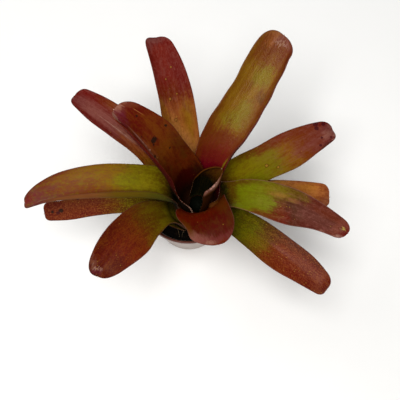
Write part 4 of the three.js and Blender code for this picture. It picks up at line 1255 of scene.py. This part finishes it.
grow("leaf_upright", 12, ring=7, heading=150, turn=2.5, length=72.5, rise=(84, 66.5, 57, 39),
     left=(15, 15, 14.5, 13.5, 11, 7), right=(15, 15, 14, 14, 11, 7),
     wrap=105, gutter=(58, 33), curl=(50, 0), roll=2.5, tip=8.7, blunt=2.3, hook=44,
     tones=((-0.25, "deep_shade"), (-0.05, "blood"), (0.05, "blood"), (0.15, "russet"), (0.3, "russet"),
            (0.46, "rust"), (0.6, "russet"), (0.75, "brick"), (0.88, "maroon"), (0.94, "maroon"),
            (0.97, "rose"), (1, "rose")),
     # The near black and dark brown patches near the neck are painted shade, and the thin shell and rose
     # lines on the left fold are painted highlights along it.
     patches=(("cup_shade", 0.03, 0.75, 0.14, 0.4, 0.98), ("dark_brown_and_shade", 0.24, 0.8, 0.18, 0.3, 0.9),
              ("rust", 0.66, -0.55, 0.14, 0.35, 0.7), ("rust", 0.48, 0.2, 0.1, 0.2, 0.6),
              ("copper", 0.61, 0.3, 0.12, 0.08, 0.8), ("shell", 0.75, 0.38, 0.13, 0.035, 1.0),
              ("maroon", 0.84, 0.6, 0.08, 0.25, 0.8), ("maroon", 0.8, 0.0, 0.12, 0.5, 0.6),
              ("grape", 0.945, 0.25, 0.06, 0.5, 0.9), ("rose", 0.6, 0.43, 0.12, 0.03, 0.8),
              ("tan", 0.84, -0.62, 0.05, 0.02, 0.8), ("shell", 0.965, 0.75, 0.02, 0.2, 0.8),
              ("dark_brown_and_shade", 0.02, -0.9, 0.12, 0.35, 0.9), ("cocoa", 0.4, -0.85, 0.16, 0.35, 0.6),
              ("wine", 0.91, -0.9, 0.05, 0.25, 0.7)),
     mottle=(("blood", "maroon"), ("umber", "rust"), 0.75, 0.5, 0.25, 0.1),
     edge=("brick", 0.12, 0.3), spines=(0.6, 2.8),
     under=((0.1, "deep_shade"), (0.3, "blood"), (0.8, "maroon"), (1, "wine")),
     marks=(("dirt", 43.5, -1.2, 2.1), ("dirt", 41.8, 0.6, 0.7), ("dirt", 37.4, 5.5, 1.0),
            ("dirt", 36.2, 8.6, 1.3), ("dirt", 61, -4, 0.6), ("dirt", 44, -11.4, 0.9),
            ("dirt", 30.6, -5.4, 0.7), ("dirt", 52, 3, 0.4), ("scab", 43, 4.9, 0.5),
            ("wart", 35, 4.5, 0.6)))
grow("leaf_young", 13, ring=8, heading=30, turn=-3.5, length=15.5, rise=(85, 76.5, 72, 63),
     left=(13.5, 13, 12.5, 11, 8.5, 5), right=(13, 13, 12.5, 11.5, 9.5, 6),
     wrap=112, gutter=(128, 90), curl=(0, 29), roll=15.5, tip=7.2, blunt=2.3, hook=30, horn=0.5,
     tones=((-0.3, "cup_shade"), (0.05, "cup_shade"), (0.3, "dark_brown_and_shade"), (0.6, "cocoa"), (1, "cocoa")),
     # Its near black tones and its dark patch on the left are painted shade deep in the cup. The shell and
     # rose patches along the right margin, on both faces, are its pink wing with painted highlights on the
     # fold.
     patches=(("shell", 0.3, -0.85, 0.25, 0.14, 0.9), ("rose", 0.6, -0.9, 0.2, 0.12, 0.7),
              ("deep_shade", 0.5, 0.9, 0.8, 0.3, 0.8)),
     mottle=(("cup_shade", "cup_shade"), ("moss", "moss"), 0.3, 0.3, 0.3, 0.0), shine=0.06,
     edge=("umber", 0.14, 0.3), spines=(0.5, 0.5), under=((0, "cocoa"), (0.3, "umber"), (1, "umber")),
     under_patches=(("rose", 0.5, -1.0, 0.36, 0.24, 1.0), ("shell", 0.65, -1.0, 0.2, 0.2, 0.8)),
     marks=(("scab", 5, -12.1, 0.5), ("scab", 8.4, -11.5, 0.9), ("scab", 10.4, -10.8, 1.2),
            ("scab", 12.2, -9.7, 0.9), ("scab", 13.6, -8.6, 0.6)))

# ---------------------------------------------------------------------------------------
# Setting. A pale table top, a large soft light overhead, a weaker one from the back left
# and the camera above the plant.
# ---------------------------------------------------------------------------------------
TABLE_HALF = 2000.0
TABLE_PALE = "fafaf9"
TABLE_CLOUD = "f7f7f6"
LIT_POINT = np.array([0.0, 0.0, 0.08])
ROOM_LIGHT = 0.22
CAMERA_TILT = 18
CAMERA_AWAY = 0.430
LOOK_AT = np.array([0.0073, -0.0060, 0.0620])
FOCAL_PIXELS = 717
FRAME_PIXELS = 400
SENSOR = 36

top, tree, skin = start_material("table_top", Roughness=0.7, Specular_IOR_Level=0.1)
clouds = noise(tree, object_place(tree), 30, 3)
fill(tree, skin, {"Base Color": blend(tree, clouds, colour(TABLE_PALE), colour(TABLE_CLOUD))})
corners = [[x * TABLE_HALF, y * TABLE_HALF, 0] for x, y in ((-1, -1), (1, -1), (1, 1), (-1, 1))]
table = make_piece("table", corners, [[0, 1, 2, 3]], [top])


def soft_light(name, place, size, watts, tint):
    """A square area light tipped and turned from straight down to face the plant."""
    data = bpy.data.lights.new(name, "AREA")
    data.size = size
    data.energy = watts
    data.color = tint
    lamp = bpy.data.objects.new(name, data)
    lamp.location = place
    aim = LIT_POINT - np.array(place)
    across = np.hypot(aim[0], aim[1])
    lamp.rotation_euler = (np.arctan2(across, -aim[2]), 0, np.arctan2(aim[1], aim[0]) - np.pi / 2)
    bpy.context.scene.collection.objects.link(lamp)


soft_light("ceiling", place=(-0.10, -0.30, 1.10), size=0.5, watts=11.5, tint=(1.0, 0.99, 0.97))
soft_light("window", place=(-0.85, 0.55, 0.85), size=0.7, watts=3.4, tint=(0.97, 0.99, 1.0))

room = bpy.data.worlds.new("room")
room.use_nodes = True
fill(room.node_tree, room.node_tree.nodes["Background"],
     {"Color": (1.0, 1.0, 1.0, 1.0), "Strength": ROOM_LIGHT})
bpy.context.scene.world = room
bpy.context.scene.view_settings.view_transform = "Standard"

lens = bpy.data.cameras.new("camera")
lens.sensor_width = SENSOR
lens.lens = SENSOR * FOCAL_PIXELS / FRAME_PIXELS
lens.clip_start = 0.01
camera = bpy.data.objects.new("camera", lens)
tilt = np.radians(CAMERA_TILT)
camera.location = LOOK_AT + CAMERA_AWAY * np.array([0, -np.sin(tilt), np.cos(tilt)])
camera.rotation_euler = (tilt, 0, 0)
bpy.context.scene.collection.objects.link(camera)
bpy.context.scene.camera = camera
